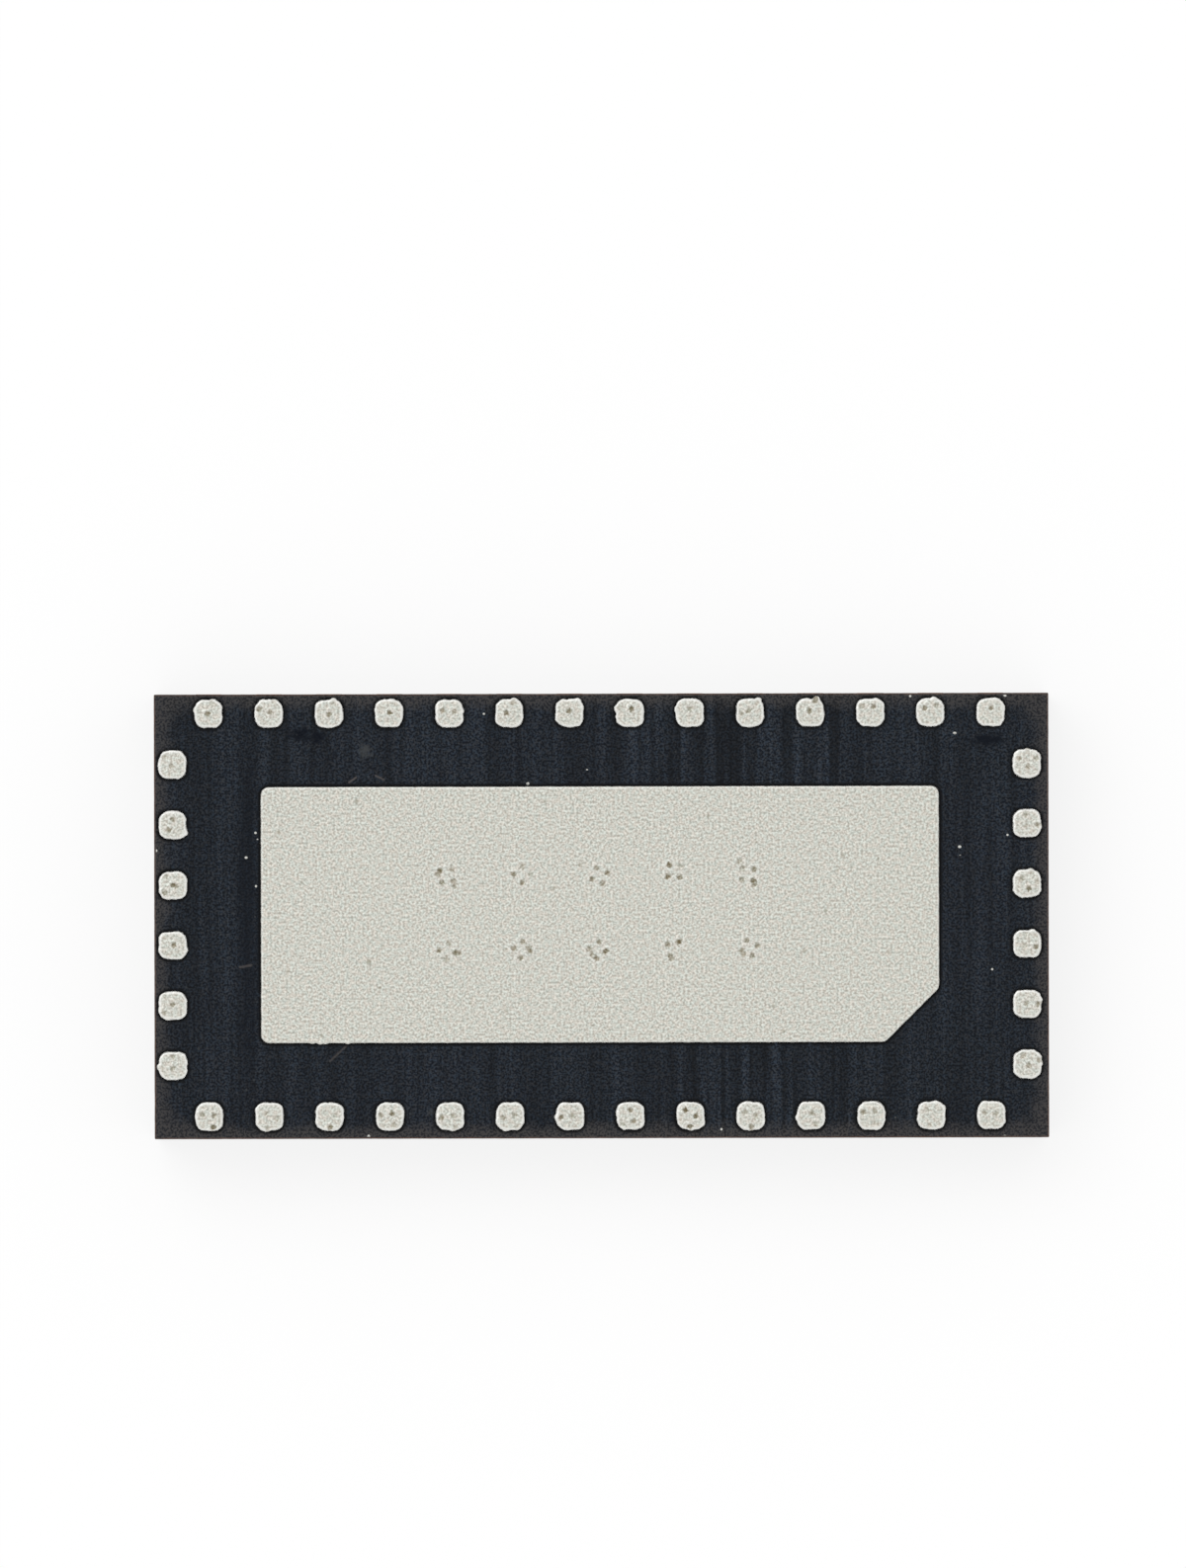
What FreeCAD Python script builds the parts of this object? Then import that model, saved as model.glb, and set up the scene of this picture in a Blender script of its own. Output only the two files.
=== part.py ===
import FreeCAD, Part
import math
import os

# Leadless moulded integrated circuit, lying on its marked face with its solder
# lands up, as it rests after being tipped out of its reel.
# Millimetres. +Z is the way the lands face, +X runs along the length.
# The origin is the middle of the marked face, on the surface it rests on.

# Moulding compound, sawn to length and width
body_length = 5.95
body_width = 2.96
body_height = 0.73

# Solder lands
land_pitch = 0.40
land_size = 0.188
land_corner_radius = 0.065
row_inset = 0.14          # middle of the lands of a long row from the sawn side
column_inset = 0.135      # middle of the lands of a short column from the sawn end
corner_space = 0.37       # least space from the body's corner to the first land's middle
stand_off = 0.02          # lands and heat pad stand this far out of the compound
rim_radius = 0.010        # rounded rim of the plated faces
saw_shift_x = -0.010      # middle of the land pattern from the middle of the sawn body
saw_shift_y = 0.010

# Heat pad
pad_end_margin = 0.72     # pad's edge from the body's end
pad_side_margin = 0.6275  # pad's edge from the body's side
pad_corner_radius = 0.055
pad_bevel = 0.36          # cut corner that points at the first lead

# Etched copper leadframe
frame_thickness = 0.20
half_etch = 0.10          # depth taken off the soldered side around lands and pad
finger_reach = 0.15       # bond finger, beyond the land towards the die
finger_width = 0.22
finger_corner_radius = 0.03
stub_width = 0.17         # what is left of the bar that held each lead, sawn through
pad_flange = 0.05         # thin step round the heat pad, which locks it in
tie_bar_width = 0.09      # bars that held the pad by its corners
tie_bar_gap = 0.05        # etched gap between a tie bar and the leads beside it
tie_bar_overlap = 0.10    # how far each tie bar reaches into the pad

# Die and the paste that holds it
die_end_margin = 0.605    # die's edge from the pad's, at the ends
die_side_margin = 0.2525
die_thickness = 0.20
paste_thickness = 0.02
paste_margin = 0.06       # spread of the paste past the die, at the pad
paste_climb = 0.08        # height of the paste up the die's sides
paste_lip = 0.01          # its thickness at the top of that climb

# Bond wires
wire_radius = 0.0125
bend_radius = 0.035
ball_radius = 0.027
ball_height = 0.014
ball_rounding = 0.007
loop_height = 0.12        # top of the loop over the die
loop_shoulder = 0.35      # share of the span over which the loop stays high
shoulder_drop = 0.03
stitch_length = 0.07
stitch_width = 0.045
stitch_height = 0.014
stitch_corner_radius = 0.015
stitch_inset = 0.03       # the stitch from the land's middle, towards the die
die_pad_inset = 0.06      # where a wire starts, from the die's edge
die_pad_space = 0.22      # along the die's long sides
die_end_pad_space = 0.16  # along its short sides
ground_wire_every = 4     # one between two signal wires, then one for each so many more
ground_wire_reach = 0.13  # stitch of a ground wire on the pad, from the die's edge

# Marks of the test probes, each with a crown of four sharp tips
crown_tips = 4
crown_radius = 0.055      # circle of a crown's tips
tip_radius = 0.015
tip_depth = 0.008
crown_columns = 5         # on the heat pad
crown_rows = 2
crown_pitch = 0.50
crown_outset = 0.032      # a land's probe from the land's middle, away from the die
probe_shift_x = -0.017    # middle of the probes from the middle of the land pattern
probe_shift_y = 0.014
probe_skew = 0.25         # degrees by which the package sat askew under the probes
# Degrees that each crown had turned to: on the pad from the upper left, then on the
# lands of each side in the order of the leads
pad_turns = (53, 0, 21, 39, 41, 81, 82, 81, 58, 19)
front_turns = (40, 9, 51, 65, 24, 15, 60, 53, 57, 56, 52, 23, 20, 40)
left_turns = (43, 88, 4, 86, 26, 84)
rear_turns = (23, 29, 25, 15, 41, 12, 5, 38, 35, 0, 17, 43, 58, 0)
right_turns = (3, 48, 79, 40, 43, 74)
land_turns = front_turns + left_turns + rear_turns + right_turns

# First-lead dot on the marked face
dot_radius = 0.15
dot_depth = 0.015
dot_inset = 0.42          # its middle from both sides

# Land pattern, pad and die, as large as the body leaves room for
row_spacing = body_width - 2 * row_inset
column_spacing = body_length - 2 * column_inset
lands_on_long_side = int((body_length - 2 * corner_space) / land_pitch) + 1
lands_on_short_side = int((body_width - 2 * corner_space) / land_pitch) + 1
pad_length = body_length - 2 * pad_end_margin
pad_width = body_width - 2 * pad_side_margin
die_length = pad_length - 2 * die_end_margin
die_width = pad_width - 2 * die_side_margin

# Levels, from the marked face up to the lands
seat_z = body_height + stand_off
frame_inner_z = seat_z - frame_thickness
half_etch_z = seat_z - half_etch
die_back_z = frame_inner_z - paste_thickness
die_face_z = die_back_z - die_thickness
loop_z = die_face_z - loop_height

overrun = 1.0             # how far a shape that is cut off later runs past the body
X = FreeCAD.Vector(1, 0, 0)
Y = FreeCAD.Vector(0, 1, 0)
Z = FreeCAD.Vector(0, 0, 1)


def vec(x, y, z=0.0):
    return FreeCAD.Vector(x, y, z)


def block(x_low, x_high, y_low, y_high, z_low, z_high):
    return Part.makeBox(x_high - x_low, y_high - y_low, z_high - z_low,
                        vec(x_low, y_low, z_low))


def upright_edges(shape):
    return [edge for edge in shape.Edges if abs(edge.tangentAt(edge.FirstParameter).z) > 0.999]


def edges_at(shape, z):
    """Edges that lie at the height z."""
    return [edge for edge in shape.Edges if all(abs(v.Z - z) < 1e-6 for v in edge.Vertexes)]


def rounded_block(x_low, x_high, y_low, y_high, z_low, z_high, corner_radius):
    shape = block(x_low, x_high, y_low, y_high, z_low, z_high)
    return shape.makeFillet(corner_radius, upright_edges(shape))


def on_land_pattern(x, y):
    """A place on the land pattern, which the saw left a little off the body's middle."""
    return vec(x + saw_shift_x, y + saw_shift_y)


def crown_marks(x, y, turn, fits=lambda place: True):
    """Cone-shaped dents of one probe's tips, for the tips that met flat metal."""
    skew = math.radians(probe_skew)
    middle = on_land_pattern(x * math.cos(skew) - y * math.sin(skew) + probe_shift_x,
                             x * math.sin(skew) + y * math.cos(skew) + probe_shift_y)
    marks = []
    for i in range(crown_tips):
        angle = math.radians(turn + 360 * i / crown_tips)
        place = middle + vec(math.cos(angle), math.sin(angle)) * crown_radius
        if fits(place):
            marks.append(Part.makeCone(0, 2 * tip_radius, 2 * tip_depth,
                                       place + Z * (seat_z - tip_depth)))
    return marks


def land_places():
    """(x, y, way out in degrees) of each lead on the land pattern, from the cut corner."""
    row_start = (lands_on_long_side - 1) * land_pitch / 2
    column_start = (lands_on_short_side - 1) * land_pitch / 2
    along_row = [row_start - i * land_pitch for i in range(lands_on_long_side)]
    along_column = [column_start - i * land_pitch for i in range(lands_on_short_side)]
    places = [(x, -row_spacing / 2, 270) for x in along_row]
    places += [(-column_spacing / 2, -y, 180) for y in along_column]
    places += [(-x, row_spacing / 2, 90) for x in along_row]
    places += [(column_spacing / 2, y, 0) for y in along_column]
    return places


def tie_bar(sign_x, sign_y, width):
    """A thin bar from inside the pad out between the two lands at one corner."""
    corner = land_size / 2 - land_corner_radius
    row_land = vec((lands_on_long_side - 1) * land_pitch / 2 + corner, row_spacing / 2 - corner)
    column_land = vec(column_spacing / 2 - corner,
                      (lands_on_short_side - 1) * land_pitch / 2 + corner)
    middle = (row_land + column_land) * 0.5
    across = column_land - row_land
    outwards = vec(-across.y, across.x).normalize()
    back = (middle.x - pad_length / 2 + tie_bar_overlap) / outwards.x
    bar = block(0, back + overrun, -width / 2, width / 2, frame_inner_z, half_etch_z)
    bar.rotate(vec(0, 0), Z, math.degrees(math.atan2(outwards.y, outwards.x)))
    bar.translate(middle - outwards * back)
    if sign_x < 0:
        bar = bar.mirror(vec(0, 0), X)
    if sign_y < 0:
        bar = bar.mirror(vec(0, 0), Y)
    bar.translate(on_land_pattern(0, 0))
    return bar


def tie_bars(width):
    return [tie_bar(sx, sy, width) for sx in (-1, 1) for sy in (-1, 1)]


def lead_blank(stub_length):
    """A lead before it is placed, pointing along X: land, thin bond finger, thin stub."""
    half = land_size / 2
    post = rounded_block(-half, half, -half, half, frame_inner_z, seat_z, land_corner_radius)
    post = post.makeFillet(rim_radius, edges_at(post, seat_z))
    finger = rounded_block(-half - finger_reach, half, -finger_width / 2, finger_width / 2,
                           frame_inner_z, half_etch_z, finger_corner_radius)
    stub = block(0, stub_length, -stub_width / 2, stub_width / 2, frame_inner_z, half_etch_z)
    return post.fuse([finger, stub]).removeSplitter()


def leads(places):
    """One solid for each lead, each with its stub flush with the side it faces."""
    keep_clear = tie_bars(tie_bar_width + 2 * tie_bar_gap)
    flat = land_size / 2 - rim_radius - tip_radius
    blanks = {}
    made = []
    for number, (x, y, way) in enumerate(places):
        middle = on_land_pattern(x, y)
        out = vec(round(math.cos(math.radians(way))), round(math.sin(math.radians(way))))
        side = body_length / 2 if out.x else body_width / 2
        if way not in blanks:
            blanks[way] = lead_blank(side - middle.dot(out))
        shape = blanks[way].copy()
        shape.rotate(vec(0, 0), Z, way)
        shape.translate(middle)
        probe = vec(x, y) + out * crown_outset
        marks = crown_marks(probe.x, probe.y, land_turns[number % len(land_turns)],
                            lambda place: max(abs(place.x - middle.x),
                                              abs(place.y - middle.y)) < flat)
        made.append(shape.cut(marks + keep_clear))
    return made


def heat_pad():
    """The exposed pad with its cut corner, hidden flange, tie bars and probe marks."""
    half_length = pad_length / 2
    half_width = pad_width / 2
    corner = [vec(half_length, -half_width), vec(half_length, -half_width + pad_bevel),
              vec(half_length - pad_bevel, -half_width)]
    bevel = Part.Face(Part.makePolygon(corner + corner[:1])).extrude(Z * (seat_z + overrun))
    exposed = block(-half_length, half_length, -half_width, half_width, frame_inner_z, seat_z)
    exposed = exposed.cut(bevel)
    exposed = exposed.makeFillet(pad_corner_radius, upright_edges(exposed))
    exposed = exposed.makeFillet(rim_radius, edges_at(exposed, seat_z))
    flange = rounded_block(-half_length - pad_flange, half_length + pad_flange,
                           -half_width - pad_flange, half_width + pad_flange,
                           frame_inner_z, half_etch_z, pad_corner_radius)
    pad = exposed.fuse(flange)
    pad.translate(on_land_pattern(0, 0))
    pad = pad.fuse(tie_bars(tie_bar_width)).removeSplitter()
    marks = []
    for number in range(crown_rows * crown_columns):
        row, column = divmod(number, crown_columns)
        marks += crown_marks((column - (crown_columns - 1) / 2) * crown_pitch,
                             ((crown_rows - 1) / 2 - row) * crown_pitch,
                             pad_turns[number % len(pad_turns)])
    sawn = block(-body_length / 2, body_length / 2, -body_width / 2, body_width / 2, 0, seat_z)
    return pad.cut(marks).common(sawn)


def die():
    chip = block(-die_length / 2, die_length / 2, -die_width / 2, die_width / 2,
                 die_face_z, die_back_z)
    chip.translate(on_land_pattern(0, 0))
    return chip


def die_paste(chip):
    """Paste between die and pad, squeezed out into a slope round the die."""
    wide_x = die_length / 2 + paste_margin
    wide_y = die_width / 2 + paste_margin
    narrow_x = die_length / 2 + paste_lip
    narrow_y = die_width / 2 + paste_lip
    # a wedge narrows along Y, so it is made on its side and then turned to face the die
    paste = Part.makeWedge(-wide_x, 0, -wide_y, -narrow_y, -narrow_x,
                           wide_x, paste_thickness + paste_climb, wide_y, narrow_y, narrow_x)
    paste.rotate(vec(0, 0), X, -90)
    paste.translate(on_land_pattern(0, 0) + Z * frame_inner_z)
    return paste.cut(chip)


def bend(before, corner, after):
    """Where an arc leaves and joins the two runs that meet at a corner, and its centre."""
    back = (before - corner).normalize()
    on = (after - corner).normalize()
    half_angle = back.getAngle(on) / 2
    tangent = bend_radius / math.tan(half_angle)
    centre = corner + (back + on).normalize() * (bend_radius / math.sin(half_angle))
    return corner + back * tangent, corner + on * tangent, centre


def round_run(start, end):
    return Part.makeCylinder(wire_radius, (end - start).Length, start, end - start)


def round_bend(start, end, centre, heading):
    """A bend of the wire, as a disc turned about the bend's centre."""
    disc = Part.Face(Part.Wire(Part.makeCircle(wire_radius, start, heading)))
    arm_in = start - centre
    arm_out = end - centre
    return disc.revolve(centre, arm_in.cross(arm_out), math.degrees(arm_in.getAngle(arm_out)))


def bond_wire(start, end):
    """A wire from a ball on the die, up, over and down to a flat stitch on the frame."""
    foot = start + Z * die_face_z
    top = start + Z * loop_z
    level = end - start
    shoulder = top + level * loop_shoulder + Z * shoulder_drop
    landing = end + Z * (frame_inner_z - stitch_height / 2)
    out_1, in_1, centre_1 = bend(foot, top, shoulder)
    out_2, in_2, centre_2 = bend(top, shoulder, landing)
    last_step = (landing - shoulder).normalize() * wire_radius
    ball = Part.makeCylinder(ball_radius, ball_height, foot, Z * -1)
    ball = ball.makeFillet(ball_rounding, edges_at(ball, die_face_z - ball_height))
    stitch = rounded_block(-stitch_length / 2, stitch_length / 2,
                           -stitch_width / 2, stitch_width / 2,
                           frame_inner_z - stitch_height, frame_inner_z, stitch_corner_radius)
    stitch.rotate(vec(0, 0), Z, math.degrees(math.atan2(level.y, level.x)))
    stitch.translate(end)
    wire = round_run(foot, out_1).fuse([
        round_bend(out_1, in_1, centre_1, top - foot), round_run(in_1, out_2),
        round_bend(out_2, in_2, centre_2, shoulder - top),
        round_run(in_2, landing + last_step), ball, stitch])
    past_frame = block(-body_length, body_length, -body_width, body_width,
                       frame_inner_z, frame_inner_z + overrun)
    return wire.cut(past_frame).removeSplitter()


def signal_wires(places, facing):
    """A wire to each lead that faces one way, from the die pad across from it."""
    wires = []
    for x, y, way in places:
        if way != facing:
            continue
        if way in (90, 270):
            side = math.copysign(1, y)
            start = on_land_pattern(x * die_pad_space / land_pitch,
                                    side * (die_width / 2 - die_pad_inset))
            end = on_land_pattern(x, y - side * stitch_inset)
        else:
            side = math.copysign(1, x)
            start = on_land_pattern(side * (die_length / 2 - die_pad_inset),
                                    y * die_end_pad_space / land_pitch)
            end = on_land_pattern(x - side * stitch_inset, y)
        wires.append(bond_wire(start, end))
    return wires


def ground_wires():
    """Short wires from the die's long sides to the pad, between the signal wires."""
    from_y = die_width / 2 - die_pad_inset
    to_y = die_width / 2 + ground_wire_reach
    # the signal wires fan out from the die's pitch to that of the lands
    share = (to_y - from_y) / (row_spacing / 2 - stitch_inset - from_y)
    fan = 1 + (land_pitch / die_pad_space - 1) * share
    wires = []
    for side in (-1, 1):
        for gap in range(0, lands_on_long_side - 1, ground_wire_every):
            x = (gap + 1 - lands_on_long_side / 2) * die_pad_space
            wires.append(bond_wire(on_land_pattern(x, side * from_y),
                                   on_land_pattern(x * fan, side * to_y)))
    return wires


def moulded_body(inside):
    """The moulding compound, which fills every space round what it holds."""
    half_length = body_length / 2
    half_width = body_width / 2
    compound = block(-half_length, half_length, -half_width, half_width, 0, body_height)
    dot = Part.makeCylinder(dot_radius, dot_depth,
                            vec(half_length - dot_inset, -half_width + dot_inset))
    return compound.cut(inside + [dot])


def write(name, solids):
    shape = solids[0] if len(solids) == 1 else Part.makeCompound(solids)
    shape.exportStep(os.path.join("parts", name + ".step"))
    print(name, len(shape.Solids), "solid(s)", round(shape.Volume, 5), "mm3",
          "valid" if shape.isValid() else "NOT VALID")


def main():
    os.makedirs("parts", exist_ok=True)
    places = land_places()
    chip = die()
    pieces = {f"lead_{number:02d}": [shape]
              for number, shape in enumerate(leads(places), start=1)}
    pieces["heat_pad"] = [heat_pad()]
    pieces["die"] = [chip]
    pieces["die_attach"] = [die_paste(chip)]
    pieces["front_bond_wires"] = signal_wires(places, 270)
    pieces["left_bond_wires"] = signal_wires(places, 180)
    pieces["rear_bond_wires"] = signal_wires(places, 90)
    pieces["right_bond_wires"] = signal_wires(places, 0)
    pieces["ground_wires"] = ground_wires()
    inside = [solid for group in pieces.values() for solid in group]
    pieces["mold_body"] = [moulded_body(inside)]
    for name, solids in pieces.items():
        write(name, solids)


main()
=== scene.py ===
import math

import bpy
import numpy as np
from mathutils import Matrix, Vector
from mathutils.geometry import delaunay_2d_cdt


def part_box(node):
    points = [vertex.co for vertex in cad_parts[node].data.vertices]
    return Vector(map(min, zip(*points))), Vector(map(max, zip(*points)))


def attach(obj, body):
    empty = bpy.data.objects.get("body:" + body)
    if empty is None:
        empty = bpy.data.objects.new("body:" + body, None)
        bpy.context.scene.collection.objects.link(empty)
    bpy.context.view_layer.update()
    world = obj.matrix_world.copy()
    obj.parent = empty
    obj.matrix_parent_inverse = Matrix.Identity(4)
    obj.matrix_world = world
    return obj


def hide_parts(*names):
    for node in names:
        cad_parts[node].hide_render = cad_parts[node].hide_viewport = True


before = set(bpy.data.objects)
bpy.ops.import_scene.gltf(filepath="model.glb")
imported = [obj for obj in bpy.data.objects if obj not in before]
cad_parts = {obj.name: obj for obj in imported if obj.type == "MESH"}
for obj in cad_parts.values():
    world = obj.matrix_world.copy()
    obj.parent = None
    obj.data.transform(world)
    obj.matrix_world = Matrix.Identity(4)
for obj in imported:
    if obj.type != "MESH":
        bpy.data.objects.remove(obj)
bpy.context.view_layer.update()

# Leadless chip package, lying lands up. Sizes in the dictionaries are millimetres,
# as are all plan points until a mesh is made.
mm = 0.001
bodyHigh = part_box("mold_body")[1] / mm
halfLength = bodyHigh.x
halfWidth = bodyHigh.y
print("frame loaded:", len(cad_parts), "nodes")

photo = {
    "widthPixels": 1200,
    "heightPixels": 1587,
    "pixelsPerMillimetre": 152.2,
    "bodyMiddlePixel": (608.6, 927.1),
    "turnDegrees": 0.13,        # the package stands this far anticlockwise in the picture
}

levels = {"mould": 0.73, "lands": 0.75, "halfEtch": 0.65, "frameBack": 0.55}

landPattern = {
    "shift": (-0.010, 0.010),   # the saw cut a little off the pattern's middle
    "pitch": 0.40,
    "rowSpacing": 2.68,
    "columnSpacing": 5.68,
    "perRow": 14,
    "perColumn": 6,
}


def atPixel(pixelX, pixelY):
    # plan point of a pixel of the photo, on the lands' level
    turn = math.radians(photo["turnDegrees"])
    right = (pixelX - photo["bodyMiddlePixel"][0]) / photo["pixelsPerMillimetre"]
    up = (photo["bodyMiddlePixel"][1] - pixelY) / photo["pixelsPerMillimetre"]
    return (right * math.cos(turn) + up * math.sin(turn), up * math.cos(turn) - right * math.sin(turn))


# Node trees, for geometry and for materials alike
def addNode(tree, kind, values=None, **settings):
    made = tree.nodes.new(kind)
    for name, value in settings.items():
        setattr(made, name, value)
    for key, value in (values or {}).items():
        if isinstance(value, bpy.types.NodeSocket):
            tree.links.new(value, made.inputs[key])
        else:
            made.inputs[key].default_value = value
    return made


def calc(tree, operation, *terms):
    return addNode(tree, "ShaderNodeMath", dict(enumerate(terms)), operation=operation).outputs[0]


def vectorCalc(tree, operation, *terms):
    keys = (0, "Scale") if operation == "SCALE" else range(len(terms))
    made = addNode(tree, "ShaderNodeVectorMath", dict(zip(keys, terms)), operation=operation)
    return made.outputs["Value" if operation in ("LENGTH", "DOT_PRODUCT") else "Vector"]


def fade(tree, value, start, end, atStart=0.0, atEnd=1.0):
    # smooth step between two values
    return addNode(tree, "ShaderNodeMapRange", {
        "Value": value, "From Min": start, "From Max": end, "To Min": atStart, "To Max": atEnd,
    }, interpolation_type="SMOOTHSTEP").outputs["Result"]


def noise(tree, place, featureSize, detail=2.0, seed=None):
    # about 0 to 1, with features of a size in the same unit as the place
    linked = isinstance(featureSize, bpy.types.NodeSocket)
    scale = calc(tree, "DIVIDE", 1.0, featureSize) if linked else 1.0 / featureSize
    values = {"Vector": place, "Detail": detail, "Scale": scale}
    if seed is None:
        return addNode(tree, "ShaderNodeTexNoise", values, noise_dimensions="3D").outputs[0]
    return addNode(tree, "ShaderNodeTexNoise", {**values, "W": seed}, noise_dimensions="4D").outputs[0]


def newGroup(name, kind, inputs, outputs):
    # inputs and outputs: (name, socket type, default)
    tree = bpy.data.node_groups.new(name, kind)
    for socketName, socketType, default in inputs:
        socket = tree.interface.new_socket(name=socketName, in_out="INPUT", socket_type=socketType)
        if default is not None:
            socket.default_value = default
    for socketName, socketType in outputs:
        tree.interface.new_socket(name=socketName, in_out="OUTPUT", socket_type=socketType)
    return tree, addNode(tree, "NodeGroupInput"), addNode(tree, "NodeGroupOutput")


def newObject(name, data):
    made = bpy.data.objects.new(name, data)
    bpy.context.scene.collection.objects.link(made)
    return made


def applyNodes(piece, tree, values):
    # runs a geometry tree on a piece and leaves a plain mesh
    modifier = piece.modifiers.new(tree.name, "NODES")
    modifier.node_group = tree
    for item in tree.interface.items_tree:
        if item.in_out == "INPUT" and item.name in values:
            modifier[item.identifier] = values[item.name]
    evaluated = piece.evaluated_get(bpy.context.evaluated_depsgraph_get())
    plain = bpy.data.meshes.new_from_object(evaluated)
    plain.name = piece.name
    piece.modifiers.remove(modifier)
    piece.data = plain
    return piece


# Plan outlines and shells
def rounded(corners, radius, step):
    # closed outline through the corners, anticlockwise, with round corners, cut into steps
    outline = []
    count = len(corners)
    for index, corner in enumerate(corners):
        before = Vector(corners[index - 1]) - Vector(corner)
        after = Vector(corners[(index + 1) % count]) - Vector(corner)
        half = before.angle(after) / 2
        back = radius / math.tan(half)
        inwards = (before.normalized() + after.normalized()).normalized()
        centre = Vector(corner) + inwards * radius / math.sin(half)
        start = Vector(corner) + before.normalized() * back - centre
        sweep = math.pi - 2 * half
        pieces = max(3, round(radius * sweep / step))
        if outline:
            outline += straight(outline[-1], tuple(centre + start), step)
        for part in range(pieces + 1):
            turn = sweep * part / pieces
            outline.append((centre.x + start.x * math.cos(turn) - start.y * math.sin(turn),
                            centre.y + start.x * math.sin(turn) + start.y * math.cos(turn)))
    return np.array(outline + straight(outline[-1], outline[0], step))


def straight(start, end, step):
    # points between two ends, without them
    pieces = max(1, round(math.dist(start, end) / step))
    return [(start[0] + (end[0] - start[0]) * part / pieces, start[1] + (end[1] - start[1]) * part / pieces)
            for part in range(1, pieces)]


def rectangle(lowX, highX, lowY, highY):
    return [(lowX, lowY), (highX, lowY), (highX, highY), (lowX, highY)]


def outwards(outline):
    along = np.roll(outline, -1, axis=0) - np.roll(outline, 1, axis=0)
    normal = np.stack([along[:, 1], -along[:, 0]], axis=1)
    return normal / np.linalg.norm(normal, axis=1)[:, None]


def inset(outline, distance):
    return outline - outwards(outline) * distance


def newShell():
    return {"places": [], "faces": [], "marks": []}


def addPlaces(shell, plan, height, **marks):
    start = len(shell["places"])
    for point in plan:
        shell["places"].append((point[0], point[1], height))
        shell["marks"].append(marks)
    return list(range(start, start + len(plan)))


def bridge(shell, lower, upper):
    # outward faces between two rings that run anticlockwise
    for index in range(len(lower)):
        following = (index + 1) % len(lower)
        shell["faces"].append((lower[index], lower[following], upper[following], upper[index]))


def triangulate(outlines, scatter=()):
    # places and triangles, each triangle with the outlines that hold it
    places = []
    loops = []
    for outline in outlines:
        loops.append(list(range(len(places), len(places) + len(outline))))
        places += [Vector(point) for point in outline]
    places += [Vector(point) for point in scatter]
    made = delaunay_2d_cdt(places, [], loops, 1, 1e-7, True)
    return made[0], made[2], made[3], made[5]


def fill(shell, ring, holes=(), scatter=(), facesUp=True, **marks):
    # closes a ring of the shell, round the holes and through the scattered points
    height = shell["places"][ring[0]][2]
    rings = [ring] + list(holes)
    known = [index for loop in rings for index in loop]
    outlines = [[shell["places"][index][:2] for index in loop] for loop in rings]
    places, faces, origins, holders = triangulate(outlines, scatter)
    lookup = {}
    for face, holder in zip(faces, holders):
        if set(holder) != {0}:
            continue
        for corner in face:
            if corner in lookup:
                continue
            origin = min(origins[corner], default=len(known))
            if origin < len(known):
                lookup[corner] = known[origin]
            else:
                lookup[corner] = addPlaces(shell, [places[corner]], height, **marks)[0]
        triangle = tuple(lookup[corner] for corner in face)
        shell["faces"].append(triangle if facesUp else triangle[::-1])
    return [index for corner, index in lookup.items()
            if min(origins[corner], default=len(known)) >= len(known)]


def slab(shell, kept, low, high, postRing):
    # flat layer under a post: all that the kept outlines cover, sharing the post's ring
    postOutline = [shell["places"][index][:2] for index in postRing]
    places, faces, origins, holders = triangulate(kept + [postOutline])
    postStart = sum(len(outline) for outline in kept)
    postFace = len(kept)
    bottom = {}
    top = {}
    edges = set()
    for face, holder in zip(faces, holders):
        inside = set(holder)
        if inside <= {postFace}:
            continue
        for corner in face:
            if corner not in bottom:
                bottom[corner] = addPlaces(shell, [places[corner]], low)[0]
                onPost = [origin - postStart for origin in origins[corner] if origin >= postStart]
                top[corner] = postRing[onPost[0]] if onPost else addPlaces(shell, [places[corner]], high)[0]
        shell["faces"].append(tuple(bottom[corner] for corner in face[::-1]))
        if postFace not in inside:
            shell["faces"].append(tuple(top[corner] for corner in face))
        for index in range(len(face)):
            edges.add((face[index], face[(index + 1) % len(face)]))
    for start, end in edges:
        if (end, start) not in edges:
            shell["faces"].append((bottom[start], bottom[end], top[end], top[start]))


def makePiece(name, shell, markNames):
    mesh = bpy.data.meshes.new(name)
    used = sorted({index for face in shell["faces"] for index in face})
    renumber = {old: new for new, old in enumerate(used)}
    mesh.from_pydata([Vector(shell["places"][index]) * mm for index in used], [],
                     [tuple(renumber[index] for index in face) for face in shell["faces"]])
    for markName in markNames:
        mark = mesh.attributes.new(markName, "FLOAT", "POINT")
        mark.data.foreach_set("value", [float(shell["marks"][index].get(markName, 0.0)) for index in used])
    mesh.validate()
    mesh.shade_smooth()
    return newObject(name, mesh)


def scattered(lowX, highX, lowY, highY, step, dice):
    # unevenly spaced points over a rectangle
    across, up = np.meshgrid(np.arange(lowX + step / 2, highX, step), np.arange(lowY + step / 2, highY, step))
    points = np.stack([across.ravel(), up.ravel()], axis=1)
    return points + dice.uniform(-0.28, 0.28, points.shape) * step


# Where the lands and the marks of the test probes are
landShape = {
    "size": 0.188,
    "cornerRadius": 0.065,
    "rimRadius": 0.010,
    "rimFade": 0.014,           # the rim's unevenness dies out over this width
    # the rim's painted highlight fades out over this width
    "paintedShineWidth": 0.012,
    "step": 0.005,
    "fingerReach": 0.15,
    "fingerWidth": 0.22,
    "fingerRadius": 0.03,
    "stubWidth": 0.17,
}

probes = {
    "crownRadius": 0.055,
    "tips": 4,
    "outset": 0.032,
    "shift": (-0.017, 0.014),
    "skewDegrees": 0.25,
    "padPitch": 0.50,
    "padColumns": 5,
    "padRows": 2,
    "reachPastLand": 0.004,     # a tip this far outside a land still dents its rim
    "seed": 11,
}

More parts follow.
